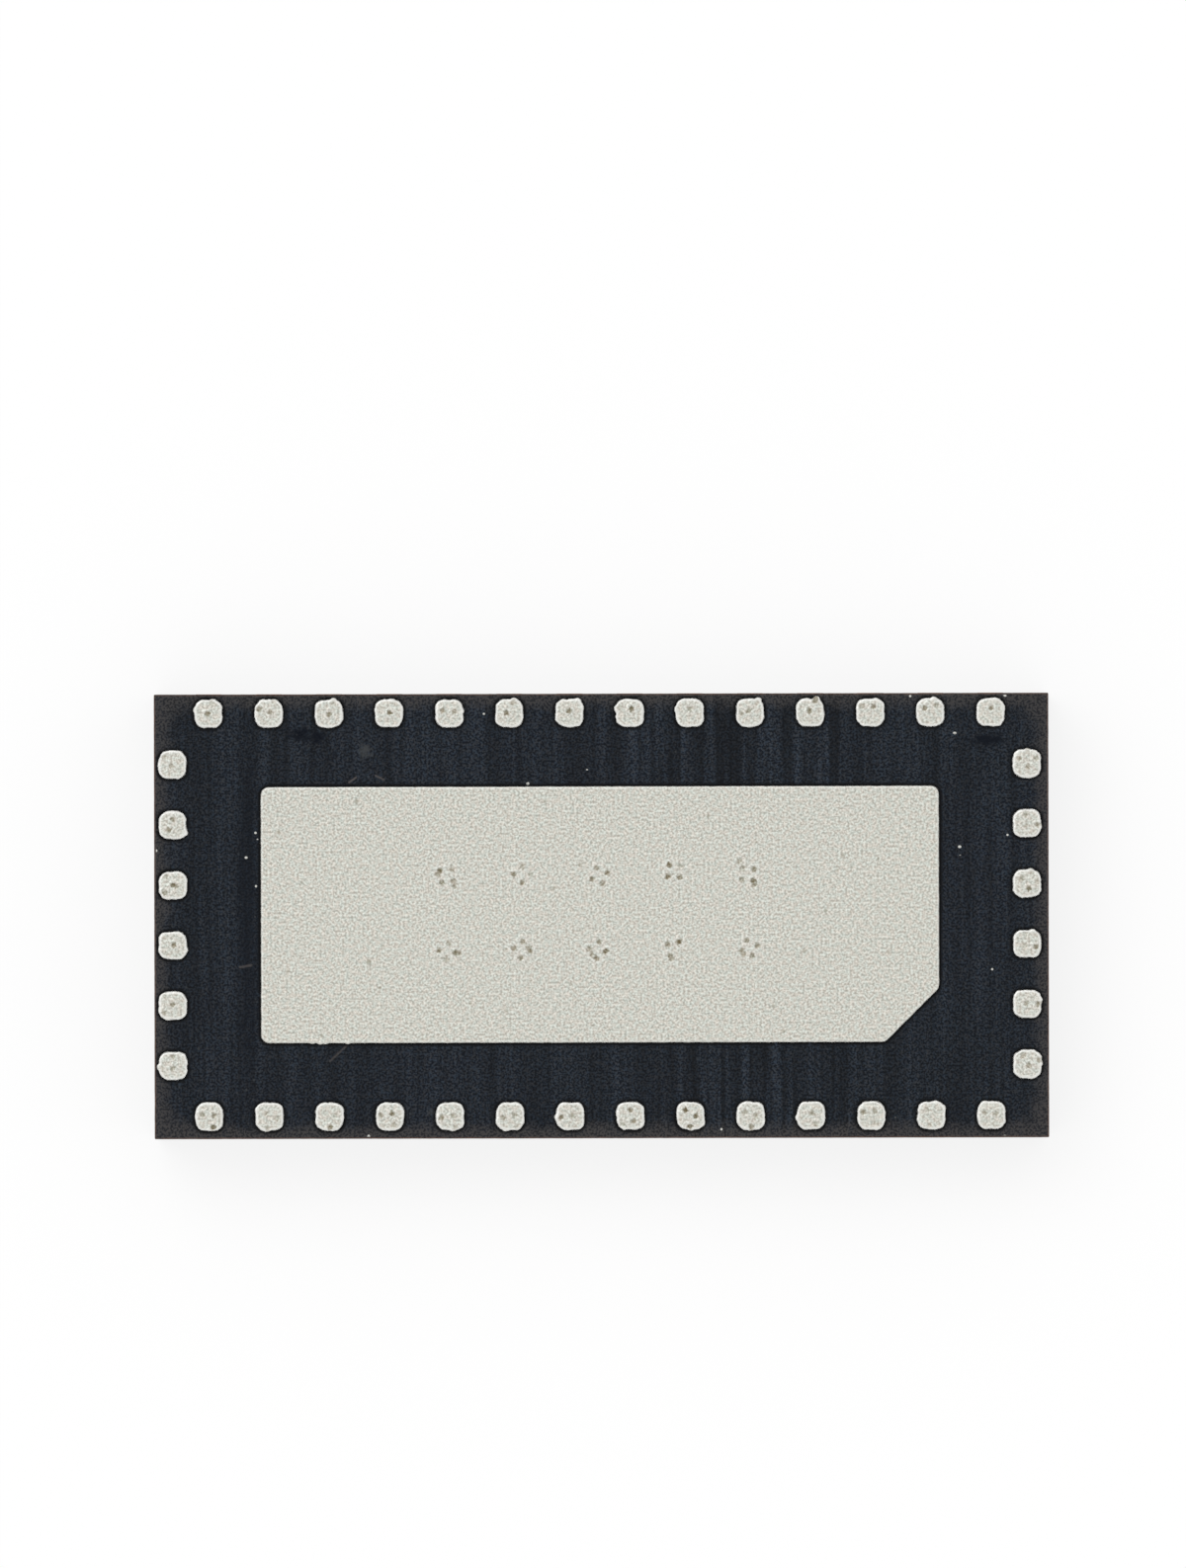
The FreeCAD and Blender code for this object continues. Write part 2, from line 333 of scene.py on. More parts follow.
# Each crown's turn in degrees, how far it landed off its place in thousandths of a millimetre,
# and how hard each of its tips pressed, 0 to 9: pad from the upper left, then the leads' order
crowns = {
    "pad": [
        (53, 0, 0, "4865"), (0, 2, 6, "3476"), (21, 16, -7, "6565"), (39, 14, 20, "3887"),
        (41, 3, -4, "7459"), (81, 0, -4, "4648"), (82, -3, 6, "6667"), (81, 0, 0, "6578"),
        (58, 12, 4, "9660"), (19, 10, 6, "6666"),
    ],
    "front": [
        (40, 1, -18, "4411"), (9, -10, -6, "0202"), (51, 0, -3, "4612"), (65, -6, -20, "5104"),
        (24, -8, -12, "4407"), (15, -9, -1, "8919"), (60, -18, 9, "6037"), (53, -7, -22, "5701"),
        (57, 12, -18, "5502"), (56, 0, -18, "5703"), (52, -7, 0, "8514"), (23, -6, 6, "2107"),
        (20, 10, -4, "3300"), (40, 0, 2, "6519"),
    ],
    "left": [
        (43, 4, 22, "4025"), (88, -12, 8, "2046"), (4, 0, -2, "7101"), (86, 0, 4, "3068"),
        (26, 1, 15, "5006"), (84, -8, -2, "3004"),
    ],
    "rear": [
        (23, -6, 16, "3017"), (29, 9, 21, "3065"), (25, 2, 7, "2017"), (15, 13, 16, "1017"),
        (41, 21, 12, "0065"), (12, -8, 14, "4008"), (5, 15, 25, "0017"), (38, 1, 24, "0038"),
        (35, -6, 23, "0015"), (0, 14, 18, "2006"), (17, 3, 11, "7007"), (43, 6, 24, "0046"),
        (58, 14, 20, "0074"), (0, 26, 26, "1006"),
    ],
    "right": [
        (3, -4, 5, "4345"), (48, 19, 0, "0425"), (79, 6, -4, "2473"), (40, 6, -6, "2237"),
        (43, 16, 14, "0056"), (74, 6, 15, "0455"),
    ],
}

# Second marks of tips that skipped, as pixels and 0 to 9
skips = {
    "pad": [
        (443, 884.5, 6), (460, 896.5, 4), (464, 965, 6), (535, 959.5, 5), (599, 966, 5), (679.5, 970, 5),
        (752, 965.5, 5), (763.5, 895.5, 5), (748, 871.5, 4),
    ],
    "front": [(270.5, 1142, 4)],
    "left": [(178.5, 897.5, 5)],
    "rear": [],
    "right": [],
}

# Small tongues of plating squeezed out over a land's rim: pixel, and reach in millimetres
burrs = {
    "front": [(806, 1131.5, 0.012), (562, 1131, 0.013), (512, 1145, 0.005), (458.5, 1144.5, 0.007),
              (759.5, 1144, 0.005), (698, 1145, 0.006), (957, 1120, 0.006),
              (624, 1127, 0.006), (270.5, 1145, 0.008)],
    "left": [(189.5, 844.5, 0.011), (190, 961.5, 0.006), (160, 1080, 0.010), (190, 1075.5, 0.005),
             (170, 1031.5, 0.005)],
    "rear": [(215.5, 708, 0.008), (197, 718, 0.006), (337.5, 707.5, 0.009), (471, 719, 0.013),
             (520, 707.5, 0.011), (585.5, 708.5, 0.013), (623, 717, 0.011), (684, 718, 0.012),
             (767.5, 708, 0.014), (826, 708, 0.016), (945.5, 707, 0.009), (396, 708, 0.006)],
    "right": [(1039.5, 757, 0.009), (1043, 879, 0.009), (1045, 941, 0.006), (1055.5, 1012.5, 0.007),
              (1055.5, 1076, 0.009), (1055, 836, 0.005)],
}


def landMiddles(side):
    # plan points of one side's lands, in the leads' order, and the way out
    row = [(landPattern["perRow"] - 1) * landPattern["pitch"] / 2 - index * landPattern["pitch"]
           for index in range(landPattern["perRow"])]
    column = [(landPattern["perColumn"] - 1) * landPattern["pitch"] / 2 - index * landPattern["pitch"]
              for index in range(landPattern["perColumn"])]
    far = landPattern["columnSpacing"] / 2
    wide = landPattern["rowSpacing"] / 2
    return {
        "front": ([(x, -wide) for x in row], (0, -1)),
        "left": ([(-far, -y) for y in column], (-1, 0)),
        "rear": ([(-x, wide) for x in row], (0, 1)),
        "right": ([(far, y) for y in column], (1, 0)),
    }[side]


def onPattern(point):
    return (point[0] + landPattern["shift"][0], point[1] + landPattern["shift"][1])


def crownTips(point, crown):
    # plan point and force of each tip of one crown
    turnDegrees, offX, offY, forces = crown
    skew = math.radians(probes["skewDegrees"])
    middle = onPattern((point[0] * math.cos(skew) - point[1] * math.sin(skew) + probes["shift"][0],
                        point[0] * math.sin(skew) + point[1] * math.cos(skew) + probes["shift"][1]))
    tips = []
    for index, force in enumerate(forces):
        angle = math.radians(turnDegrees + 360 * index / probes["tips"])
        tips.append((middle[0] + offX / 1000 + math.cos(angle) * probes["crownRadius"],
                     middle[1] + offY / 1000 + math.sin(angle) * probes["crownRadius"], int(force) / 9))
    return tips


def landTips(side):
    middles, out = landMiddles(side)
    reach = landShape["size"] / 2 + probes["reachPastLand"]
    tips = []
    for middle, crown in zip(middles, crowns[side]):
        probe = (middle[0] + out[0] * probes["outset"], middle[1] + out[1] * probes["outset"])
        land = onPattern(middle)
        tips += [tip for tip in crownTips(probe, crown)
                 if tip[2] and max(abs(tip[0] - land[0]), abs(tip[1] - land[1])) < reach]
    return tips + [(*atPixel(x, y), force / 9) for x, y, force in skips[side]]


def padTips():
    tips = []
    for number, crown in enumerate(crowns["pad"]):
        row, column = divmod(number, probes["padColumns"])
        tips += crownTips(((column - (probes["padColumns"] - 1) / 2) * probes["padPitch"],
                           ((probes["padRows"] - 1) / 2 - row) * probes["padPitch"]), crown)
    return [tip for tip in tips if tip[2]] + [(*atPixel(x, y), force / 9) for x, y, force in skips["pad"]]


def markers(name, marks):
    # loose points, one for each dent or burr, with its strength
    mesh = bpy.data.meshes.new(name)
    mesh.from_pydata([(x * mm, y * mm, levels["lands"] * mm) for x, y, strength in marks], [], [])
    attribute = mesh.attributes.new("strength", "FLOAT", "POINT")
    attribute.data.foreach_set("value", [strength for x, y, strength in marks])
    return newObject(name, mesh)


# Geometry trees
def mark(tree, name):
    return addNode(tree, "GeometryNodeInputNamedAttribute", {"Name": name}, data_type="FLOAT").outputs[0]


def nearestMarker(tree, place, target):
    # distance in plan to the nearest marker, and its strength
    points = addNode(tree, "GeometryNodeObjectInfo", {"Object": target}).outputs["Geometry"]
    nearest = addNode(tree, "GeometryNodeSampleNearest", {"Geometry": points}, domain="POINT").outputs[0]
    found = addNode(tree, "GeometryNodeSampleIndex", {
        "Geometry": points, "Value": addNode(tree, "GeometryNodeInputPosition").outputs[0], "Index": nearest,
    }, data_type="FLOAT_VECTOR").outputs[0]
    strength = addNode(tree, "GeometryNodeSampleIndex", {
        "Geometry": points, "Value": mark(tree, "strength"), "Index": nearest}, data_type="FLOAT").outputs[0]
    gap = vectorCalc(tree, "SUBTRACT", place, vectorCalc(tree, "SCALE", found, 1 / mm))
    return vectorCalc(tree, "LENGTH", vectorCalc(tree, "MULTIPLY", gap, (1, 1, 0))), strength


def moved(tree, shape, push, rise):
    # points moved out along their plan normal and up, in millimetres
    side = addNode(tree, "ShaderNodeCombineXYZ", {"X": mark(tree, "outX"), "Y": mark(tree, "outY")})
    up = addNode(tree, "ShaderNodeCombineXYZ", {"Z": rise})
    offset = vectorCalc(tree, "ADD", vectorCalc(tree, "SCALE", side.outputs[0], push), up.outputs[0])
    return addNode(tree, "GeometryNodeSetPosition", {
        "Geometry": shape, "Offset": vectorCalc(tree, "SCALE", offset, mm)}).outputs[0]


def finishTree(tree, shape, material, result):
    # one plain mesh with its material
    shape = addNode(tree, "GeometryNodeRealizeInstances", {"Geometry": shape}).outputs[0]
    shape = addNode(tree, "GeometryNodeSetMaterial", {"Geometry": shape, "Material": material}).outputs[0]
    tree.links.new(shape, result.inputs[0])
    return tree


plating = ["Dent Radius", "Dent Depth", "Lip Height", "Burr Radius", "Rim Wobble", "Wobble Size",
           "Grain Height", "Grain Size", "Seed"]


def platedFaceTree():
    # uneven rim with burrs, and a granular face with probe dents
    tree, given, result = newGroup("platedFace", "GeometryNodeTree", [
        ("Geometry", "NodeSocketGeometry", None), ("Tips", "NodeSocketObject", None),
        ("Burrs", "NodeSocketObject", None),
    ] + [(size, "NodeSocketFloat", 0.0) for size in plating], [("Geometry", "NodeSocketGeometry")])
    given = given.outputs
    place = vectorCalc(tree, "SCALE", addNode(tree, "GeometryNodeInputPosition").outputs[0], 1 / mm)

    gap, strength = nearestMarker(tree, place, given["Tips"])
    ragged = calc(tree, "MULTIPLY_ADD", noise(tree, place, 0.016, 2), 1.9, 0.05)
    radii = calc(tree, "DIVIDE", calc(tree, "MULTIPLY", gap, ragged), given["Dent Radius"])
    bowl = calc(tree, "MULTIPLY", fade(tree, radii, 0.1, 1.0, 1, 0), strength)
    lip = calc(tree, "MULTIPLY", fade(tree, radii, 0.7, 1.2), fade(tree, radii, 1.2, 2.0, 1, 0))
    lip = calc(tree, "MULTIPLY", lip, strength)

    away, reach = nearestMarker(tree, place, given["Burrs"])
    tongue = fade(tree, calc(tree, "DIVIDE", away, given["Burr Radius"]), 0.2, 1.0, 1, 0)

    grain = calc(tree, "SUBTRACT", noise(tree, place, given["Grain Size"], 2, given["Seed"]), 0.5)
    rise = calc(tree, "MULTIPLY", calc(tree, "MULTIPLY", grain, 2), given["Grain Height"])
    rise = calc(tree, "SUBTRACT", rise, calc(tree, "MULTIPLY", bowl, given["Dent Depth"]))
    rise = calc(tree, "ADD", rise, calc(tree, "MULTIPLY", lip, given["Lip Height"]))
    rise = calc(tree, "ADD", rise, calc(tree, "MULTIPLY", tongue, calc(tree, "MULTIPLY", reach, 0.15)))
    rise = calc(tree, "MULTIPLY", rise, mark(tree, "top"))

    wave = calc(tree, "SUBTRACT", noise(tree, place, given["Wobble Size"], 1, given["Seed"]), 0.5)
    ripple = calc(tree, "SUBTRACT", noise(tree, place, given["Grain Size"], 1, given["Seed"]), 0.5)
    push = calc(tree, "ADD", calc(tree, "MULTIPLY", wave, 2.2), calc(tree, "MULTIPLY", ripple, 0.9))
    push = calc(tree, "MULTIPLY", push, given["Rim Wobble"])
    push = calc(tree, "ADD", push, calc(tree, "MULTIPLY", tongue, reach))
    push = calc(tree, "MULTIPLY", push, mark(tree, "rim"))

    # what the colours follow is stored before the faces move
    shape = given["Geometry"]
    stains = {"dent": calc(tree, "MULTIPLY", fade(tree, radii, 0.35, 1.3, 1, 0), strength), "lip": lip}
    for name, value in stains.items():
        shape = addNode(tree, "GeometryNodeStoreNamedAttribute", {
            "Geometry": shape, "Name": name, "Value": value}, data_type="FLOAT", domain="POINT").outputs[0]
    tree.links.new(moved(tree, shape, push, rise), result.inputs[0])
    return tree


def platedTree(name, face, instanced):
    # copies of a blank on points, or one mesh, then the plated face and the material
    tree, given, result = newGroup(name, "GeometryNodeTree", [
        ("Geometry", "NodeSocketGeometry", None), ("Blank", "NodeSocketObject", None),
        ("Tips", "NodeSocketObject", None), ("Burrs", "NodeSocketObject", None),
        ("Material", "NodeSocketMaterial", None),
    ] + [(size, "NodeSocketFloat", 0.0) for size in plating], [("Geometry", "NodeSocketGeometry")])
    given = given.outputs
    shape = given["Geometry"]
    if instanced:
        blank = addNode(tree, "GeometryNodeObjectInfo", {"Object": given["Blank"]}).outputs["Geometry"]
        shape = addNode(tree, "GeometryNodeInstanceOnPoints", {"Points": shape, "Instance": blank}).outputs[0]
        shape = addNode(tree, "GeometryNodeRealizeInstances", {"Geometry": shape}).outputs[0]
    passedOn = {key: given[key] for key in ["Tips", "Burrs"] + plating}
    dressed = addNode(tree, "GeometryNodeGroup", {"Geometry": shape, **passedOn}, node_tree=face)
    return finishTree(tree, dressed.outputs[0], given["Material"], result)


# Shader groups
def grainGroup():
    # fine mottle: a value about 0.5, and the few dark pits in it
    tree, given, result = newGroup("grain", "ShaderNodeTree", [
        ("Vector", "NodeSocketVector", None), ("Size", "NodeSocketFloat", 0.015),
        ("Contrast", "NodeSocketFloat", 1.0), ("Pit Spacing", "NodeSocketFloat", 0.08),
        ("Pit Size", "NodeSocketFloat", 0.1),
    ], [("Value", "NodeSocketFloat"), ("Pits", "NodeSocketFloat")])
    given = given.outputs
    coarse = noise(tree, given["Vector"], given["Size"], 1)
    value = calc(tree, "MULTIPLY_ADD", calc(tree, "SUBTRACT", coarse, 0.5), given["Contrast"], 0.5)
    cells = addNode(tree, "ShaderNodeTexVoronoi", {
        "Vector": given["Vector"], "Scale": calc(tree, "DIVIDE", 1.0, given["Pit Spacing"])})
    chance = addNode(tree, "ShaderNodeTexWhiteNoise", {"Vector": cells.outputs["Position"]}).outputs["Value"]
    reach = calc(tree, "MULTIPLY", calc(tree, "POWER", chance, 3.0), given["Pit Size"])
    pits = calc(tree, "LESS_THAN", cells.outputs["Distance"], reach)
    soft = fade(tree, calc(tree, "DIVIDE", cells.outputs["Distance"], reach), 0.4, 1.3, 1, 0)
    tree.links.new(calc(tree, "MAXIMUM", calc(tree, "MULTIPLY", pits, 0.3), soft), result.inputs["Pits"])
    tree.links.new(value, result.inputs["Value"])
    return tree


def sawGroup():
    # fine lines left by the saw, along the cut sides
    tree, given, result = newGroup("sawLines", "ShaderNodeTree", [
        ("Vector", "NodeSocketVector", None), ("Line Width", "NodeSocketFloat", 0.008),
    ], [("Value", "NodeSocketFloat")])
    given = given.outputs
    slanted = addNode(tree, "ShaderNodeMapping", {
        "Vector": given["Vector"], "Rotation": (0.10, 0.07, 0), "Scale": (0.04, 0.04, 1)}).outputs[0]
    tree.links.new(noise(tree, slanted, given["Line Width"], 3), result.inputs["Value"])
    return tree


def spotGroup():
    # soft ragged patch
    tree, given, result = newGroup("softSpot", "ShaderNodeTree", [
        ("Vector", "NodeSocketVector", None), ("Middle", "NodeSocketVector", None),
        ("Reach", "NodeSocketVector", (0.1, 0.1, 1)), ("Ragged", "NodeSocketFloat", 0.5),
    ], [("Mask", "NodeSocketFloat")])
    given = given.outputs
    away = vectorCalc(tree, "SUBTRACT", given["Vector"], given["Middle"])
    away = vectorCalc(tree, "DIVIDE", away, given["Reach"])
    away = vectorCalc(tree, "LENGTH", vectorCalc(tree, "MULTIPLY", away, (1, 1, 0)))
    uneven = calc(tree, "SUBTRACT", noise(tree, given["Vector"], 0.035, 2), 0.5)
    away = calc(tree, "MULTIPLY_ADD", uneven, given["Ragged"], away)
    tree.links.new(fade(tree, away, 0.2, 1.0, 1, 0), result.inputs["Mask"])
    return tree


def scratchGroup():
    # thin line between two points
    tree, given, result = newGroup("scratch", "ShaderNodeTree", [
        ("Vector", "NodeSocketVector", None), ("Start", "NodeSocketVector", None),
        ("End", "NodeSocketVector", None), ("Width", "NodeSocketFloat", 0.008),
    ], [("Mask", "NodeSocketFloat")])
    given = given.outputs
    flat = vectorCalc(tree, "MULTIPLY", given["Vector"], (1, 1, 0))
    run = vectorCalc(tree, "SUBTRACT", given["End"], given["Start"])
    arm = vectorCalc(tree, "SUBTRACT", flat, given["Start"])
    along = vectorCalc(tree, "DOT_PRODUCT", arm, run)
    share = calc(tree, "DIVIDE", along, vectorCalc(tree, "DOT_PRODUCT", run, run))
    share = addNode(tree, "ShaderNodeClamp", {"Value": share}).outputs[0]
    away = vectorCalc(tree, "SUBTRACT", arm, vectorCalc(tree, "SCALE", run, share))
    away = vectorCalc(tree, "LENGTH", away)
    away = calc(tree, "MULTIPLY_ADD", noise(tree, flat, 0.02, 1), 0.006, away)
    core = calc(tree, "MULTIPLY", given["Width"], 0.3)
    tree.links.new(fade(tree, away, given["Width"], core), result.inputs["Mask"])
    return tree


# Materials
def newMaterial(name):
    material = bpy.data.materials.new(name)
    material.use_nodes = True
    tree = material.node_tree
    tree.nodes.clear()
    shader = addNode(tree, "ShaderNodeBsdfPrincipled")
    surface = addNode(tree, "ShaderNodeOutputMaterial")
    tree.links.new(shader.outputs[0], surface.inputs["Surface"])
    place = addNode(tree, "ShaderNodeTexCoord").outputs["Object"]
    place = addNode(tree, "ShaderNodeMapping", {"Vector": place, "Scale": [1 / mm] * 3}).outputs[0]
    return material, tree, shader, place


def blend(tree, mask, first, second, mode="MIX"):
    first, second = (colour if isinstance(colour, bpy.types.NodeSocket) else (*colour, 1)
                     for colour in (first, second))
    return addNode(tree, "ShaderNodeMix", {0: mask, 6: first, 7: second},
                   data_type="RGBA", blend_type=mode).outputs[2]


def tinted(tree, place, colour, size, warm, cool):
    # patches of slightly warmer and cooler colour
    share = fade(tree, noise(tree, place, size, 2), 0.35, 0.65)
    return blend(tree, 1.0, colour, blend(tree, share, warm, cool), "MULTIPLY")


def attribute(tree, name):
    return addNode(tree, "ShaderNodeAttribute", attribute_name=name).outputs["Fac"]


def placed(tree, group, values):
    return addNode(tree, "ShaderNodeGroup", values, node_tree=group).outputs


groups = {"grain": grainGroup(), "saw": sawGroup(), "spot": spotGroup(), "scratch": scratchGroup()}

mouldLook = {
    "dark": (0.0014, 0.0032, 0.0066),
    "light": (0.0232, 0.029, 0.0375),
    "warm": (1.14, 1.0, 0.90),
    "cool": (0.90, 1.0, 1.08),
    "border": (0.050, 0.047, 0.0465),
    "edgeLine": (0.17, 0.095, 0.065),
    # painted shade: near-black colour laid on the compound right round every land and the pad
    "halo": (0.0015, 0.0015, 0.0022),
    "patch": (0.0012, 0.0028, 0.0068),
    "sawn": (0.030, 0.031, 0.033),
    "filler": (0.085, 0.085, 0.083),
    "markedDark": (0.0095, 0.0100, 0.0110),
    "markedLight": (0.0300, 0.0310, 0.0335),
    "dot": (0.0085, 0.0088, 0.0095),
    "grainSize": 0.014,
    "grainContrast": 4.6,
    "streakPixel": 760,         # where the streaks are strongest, and how far they reach
    "streakReach": 1.3,
    "pitSpacing": 0.05,
    "pitSize": 0.22,
    "pitShare": 0.35,
    "tintSize": 0.022,
    "sawnDark": (0.018, 0.019, 0.021),
    "sawLine": 0.012,
    "fillerScale": 38.0,        # cut filler grains in a millimetre
    "patchRagged": 1.3,
    "wipeRagged": 2.0,
    "roughness": (0.62, 0.82),
    "dotPolish": 0.40,          # how much less rough the dot is
    "specular": 0.12,
    "bump": 0.35,
    "bumpDepth": 0.002,
    "borderWidth": 0.11,
    "cornerSpread": 0.30,
    "speck": (0.62, 0.62, 0.58),
    "wipe": (0.075, 0.08, 0.08),
    "scratch": (0.16, 0.14, 0.13),
    "ball": (0.06, 0.065, 0.07),
    # darker patches, the band by the pad a painted shade along its left edge and the others smudges and a
    # spot: pixel, reach in millimetres, depth
    "patches": {
        "paintedShadeByPad": ((251, 925), (0.12, 1.6), 0.45),
        "smudgeUpperLeft": ((303, 743), (0.11, 0.07), 1.0),
        "smudgeUpperLeftEnd": ((321, 746), (0.07, 0.07), 1.0),
        "smudgeUpperRight": ((1000, 749), (0.15, 0.06), 0.95),
        "dotUpperLeft": ((338, 762), (0.03, 0.03), 0.6),
    },
    # paler patches
    "wipes": {
        "paleUpperLeft": ((370, 760), (0.06, 0.06), 0.45),
        "paleLower": ((438, 1125), (0.05, 0.04), 0.25),
    },
    # pale scratches: from pixel, to pixel, width in millimetres, strength
    "scratches": {
        "belowPad": ((353, 1056), (334, 1074), 0.015, 0.24),
        "leftOfPad": ((243, 979), (254, 977), 0.016, 0.30),
        "abovePad": ((353, 792), (360, 787), 0.014, 0.4),
        "abovePadRight": ((380, 785), (388, 789), 0.014, 0.35),
    },
}


def mouldMaterial():
    look = mouldLook
    material, tree, shader, place = newMaterial("mouldCompound")
    grain = placed(tree, groups["grain"], {
        "Vector": place, "Size": look["grainSize"], "Contrast": look["grainContrast"],
        "Pit Spacing": look["pitSpacing"], "Pit Size": look["pitSize"]})
    colour = blend(tree, grain["Value"], look["dark"], look["light"])
    colour = tinted(tree, place, colour, look["tintSize"], look["warm"], look["cool"])
    split = addNode(tree, "ShaderNodeSeparateXYZ", {"Vector": place}).outputs
    # 1 on the soldered face, 0 below it
    soldered = fade(tree, split[2], levels["halfEtch"], levels["halfEtch"] + 0.05)
    # soft streaks across the width, left by the moulding film
    drawn = addNode(tree, "ShaderNodeMapping", {"Vector": place, "Scale": (9, 0.35, 1)}).outputs[0]
    streak = fade(tree, noise(tree, drawn, 1.0, 2), 0.35, 0.65, 0.80, 1.16)
    fine = addNode(tree, "ShaderNodeMapping", {"Vector": place, "Scale": (42, 1.2, 1)}).outputs[0]
    streak = calc(tree, "MULTIPLY", streak, fade(tree, noise(tree, fine, 1.0, 1), 0.35, 0.65, 0.84, 1.16))
    away = calc(tree, "ABSOLUTE", calc(tree, "SUBTRACT", split[0], atPixel(look["streakPixel"], 927)[0]))
    strong = addNode(tree, "ShaderNodeMapping", {"Vector": place, "Scale": (16, 0.5, 1)}).outputs[0]
    strong = fade(tree, noise(tree, strong, 1.0, 1), 0.40, 0.60, -0.34, 0.30)
    strong = calc(tree, "MULTIPLY", strong, fade(tree, away, 0.3, look["streakReach"], 1, 0))
    streak = calc(tree, "MULTIPLY", streak, calc(tree, "ADD", strong, 1.0))
    streak = calc(tree, "MULTIPLY_ADD", calc(tree, "SUBTRACT", streak, 1.0), soldered, 1.0)
    streak = addNode(tree, "ShaderNodeCombineColor", {0: streak, 1: streak, 2: streak}).outputs[0]
    colour = blend(tree, 1.0, colour, streak, "MULTIPLY")
    # greyer strip along the soldered face's edges, wider at its corners
    fromEnd = calc(tree, "SUBTRACT", halfLength, calc(tree, "ABSOLUTE", split[0]))
    fromSide = calc(tree, "SUBTRACT", halfWidth, calc(tree, "ABSOLUTE", split[1]))
    fromEdge = calc(tree, "SMOOTH_MIN", fromEnd, fromSide, look["cornerSpread"])
    wander = calc(tree, "MULTIPLY_ADD", noise(tree, place, 0.12, 2), 0.12, -0.06)
    fromEdge = calc(tree, "ADD", fromEdge, wander)
    strip = fade(tree, fromEdge, look["borderWidth"] * 0.3, look["borderWidth"] * 1.2, 1, 0)
    strip = calc(tree, "MULTIPLY", strip, fade(tree, grain["Value"], 0.1, 0.9, 0.25, 1.0))
    colour = blend(tree, calc(tree, "MULTIPLY", strip, soldered), colour, look["border"])

    # lays patches, pale wipes and scratches into the colour; the band by the pad among them is painted shade
    def laidStainsAndShade(colour, group, values, depth, stainAndShadeLook):
        mask = calc(tree, "MULTIPLY", placed(tree, group, {"Vector": place, **values})["Mask"], soldered)
        return blend(tree, calc(tree, "MULTIPLY", mask, depth), colour, stainAndShadeLook)

    for kind, stainAndShadeLook in (("patches", "patch"), ("wipes", "wipe")):
        for pixel, reach, depth in look[kind].values():
            values = {"Middle": (*atPixel(*pixel), 0), "Reach": (*reach, 1), "Ragged": look[stainAndShadeLook + "Ragged"]}
            colour = laidStainsAndShade(colour, groups["spot"], values, depth, look[stainAndShadeLook])
    for start, end, width, depth in look["scratches"].values():
        values = {"Start": (*atPixel(*start), 0), "End": (*atPixel(*end), 0), "Width": width}
        colour = laidStainsAndShade(colour, groups["scratch"], values, depth, look["scratch"])
    # plain marked face, with a smooth first-lead dot
    marked = blend(tree, grain["Value"], look["markedDark"], look["markedLight"])
    marked = blend(tree, attribute(tree, "dot"), marked, look["dot"])
    colour = blend(tree, soldered, marked, colour)
    colour = blend(tree, calc(tree, "MULTIPLY", grain["Pits"], look["pitShare"]), colour, look["ball"])
    # painted shade where the compound meets the raised lands and pad
    colour = blend(tree, attribute(tree, "halo"), colour, look["halo"])
    line = calc(tree, "MULTIPLY", attribute(tree, "edgeLine"), noise(tree, place, 0.05, 1))
    colour = blend(tree, line, colour, look["edgeLine"])
    colour = blend(tree, attribute(tree, "speck"), colour, look["speck"])
    # sawn sides: paler, with cut filler grains and lines along the cut
    saw = placed(tree, groups["saw"], {"Vector": place, "Line Width": look["sawLine"]})["Value"]
    sawn = blend(tree, fade(tree, saw, 0.3, 0.7), look["sawnDark"], look["sawn"])
    balls = addNode(tree, "ShaderNodeTexVoronoi", {"Vector": place, "Scale": look["fillerScale"]})
    girth = addNode(tree, "ShaderNodeTexWhiteNoise", {"Vector": balls.outputs["Position"]}).outputs["Value"]
    girth = calc(tree, "MULTIPLY", calc(tree, "POWER", girth, 2.0), 0.5)
    cut = fade(tree, calc(tree, "DIVIDE", balls.outputs["Distance"], girth), 0.5, 1.1, 0.6, 0)
    sawn = blend(tree, cut, sawn, look["filler"])
    side = attribute(tree, "side")
    colour = blend(tree, side, colour, sawn)
    tree.links.new(colour, shader.inputs["Base Color"])
    rough = fade(tree, grain["Value"], 0.0, 1.0, *look["roughness"])
    rough = calc(tree, "MULTIPLY_ADD", attribute(tree, "dot"), -look["dotPolish"], rough)
    tree.links.new(rough, shader.inputs["Roughness"])
    shader.inputs["Specular IOR Level"].default_value = look["specular"]
    height = calc(tree, "ADD", grain["Value"], calc(tree, "MULTIPLY", calc(tree, "MULTIPLY", saw, side), 2.0))
    bump = addNode(tree, "ShaderNodeBump", {
        "Height": height, "Strength": look["bump"], "Distance": look["bumpDepth"] * mm})
    tree.links.new(bump.outputs[0], shader.inputs["Normal"])
    return material


tinLook = {
    "dark": (0.393, 0.389, 0.354),
    "light": (0.698, 0.690, 0.642),
    "warm": (1.035, 0.995, 0.965),
    "cool": (0.965, 1.01, 1.0),
    "pit": (0.210, 0.192, 0.131),
    "dent": (0.171, 0.129, 0.047),
    # paler colour painted round the rims as a highlight; the dent lips take it too
    "rim": (0.768, 0.768, 0.742),
    "copperDark": (0.367, 0.148, 0.070),
    "copperLight": (0.681, 0.349, 0.210),
    "grainSize": 0.015,
    "grainContrast": 2.45,
    "pitSpacing": 0.115,
    "pitSize": 0.17,
    "pitShare": 0.50,
    "tintSize": 0.030,
    "lipShare": 0.35,
    "sawLine": 0.010,
    "roughness": (0.62, 0.48),
    "dentRoughness": 0.25,      # how much rougher a full dent is
    "bump": 0.30,
    "bumpDepth": 0.003,
}


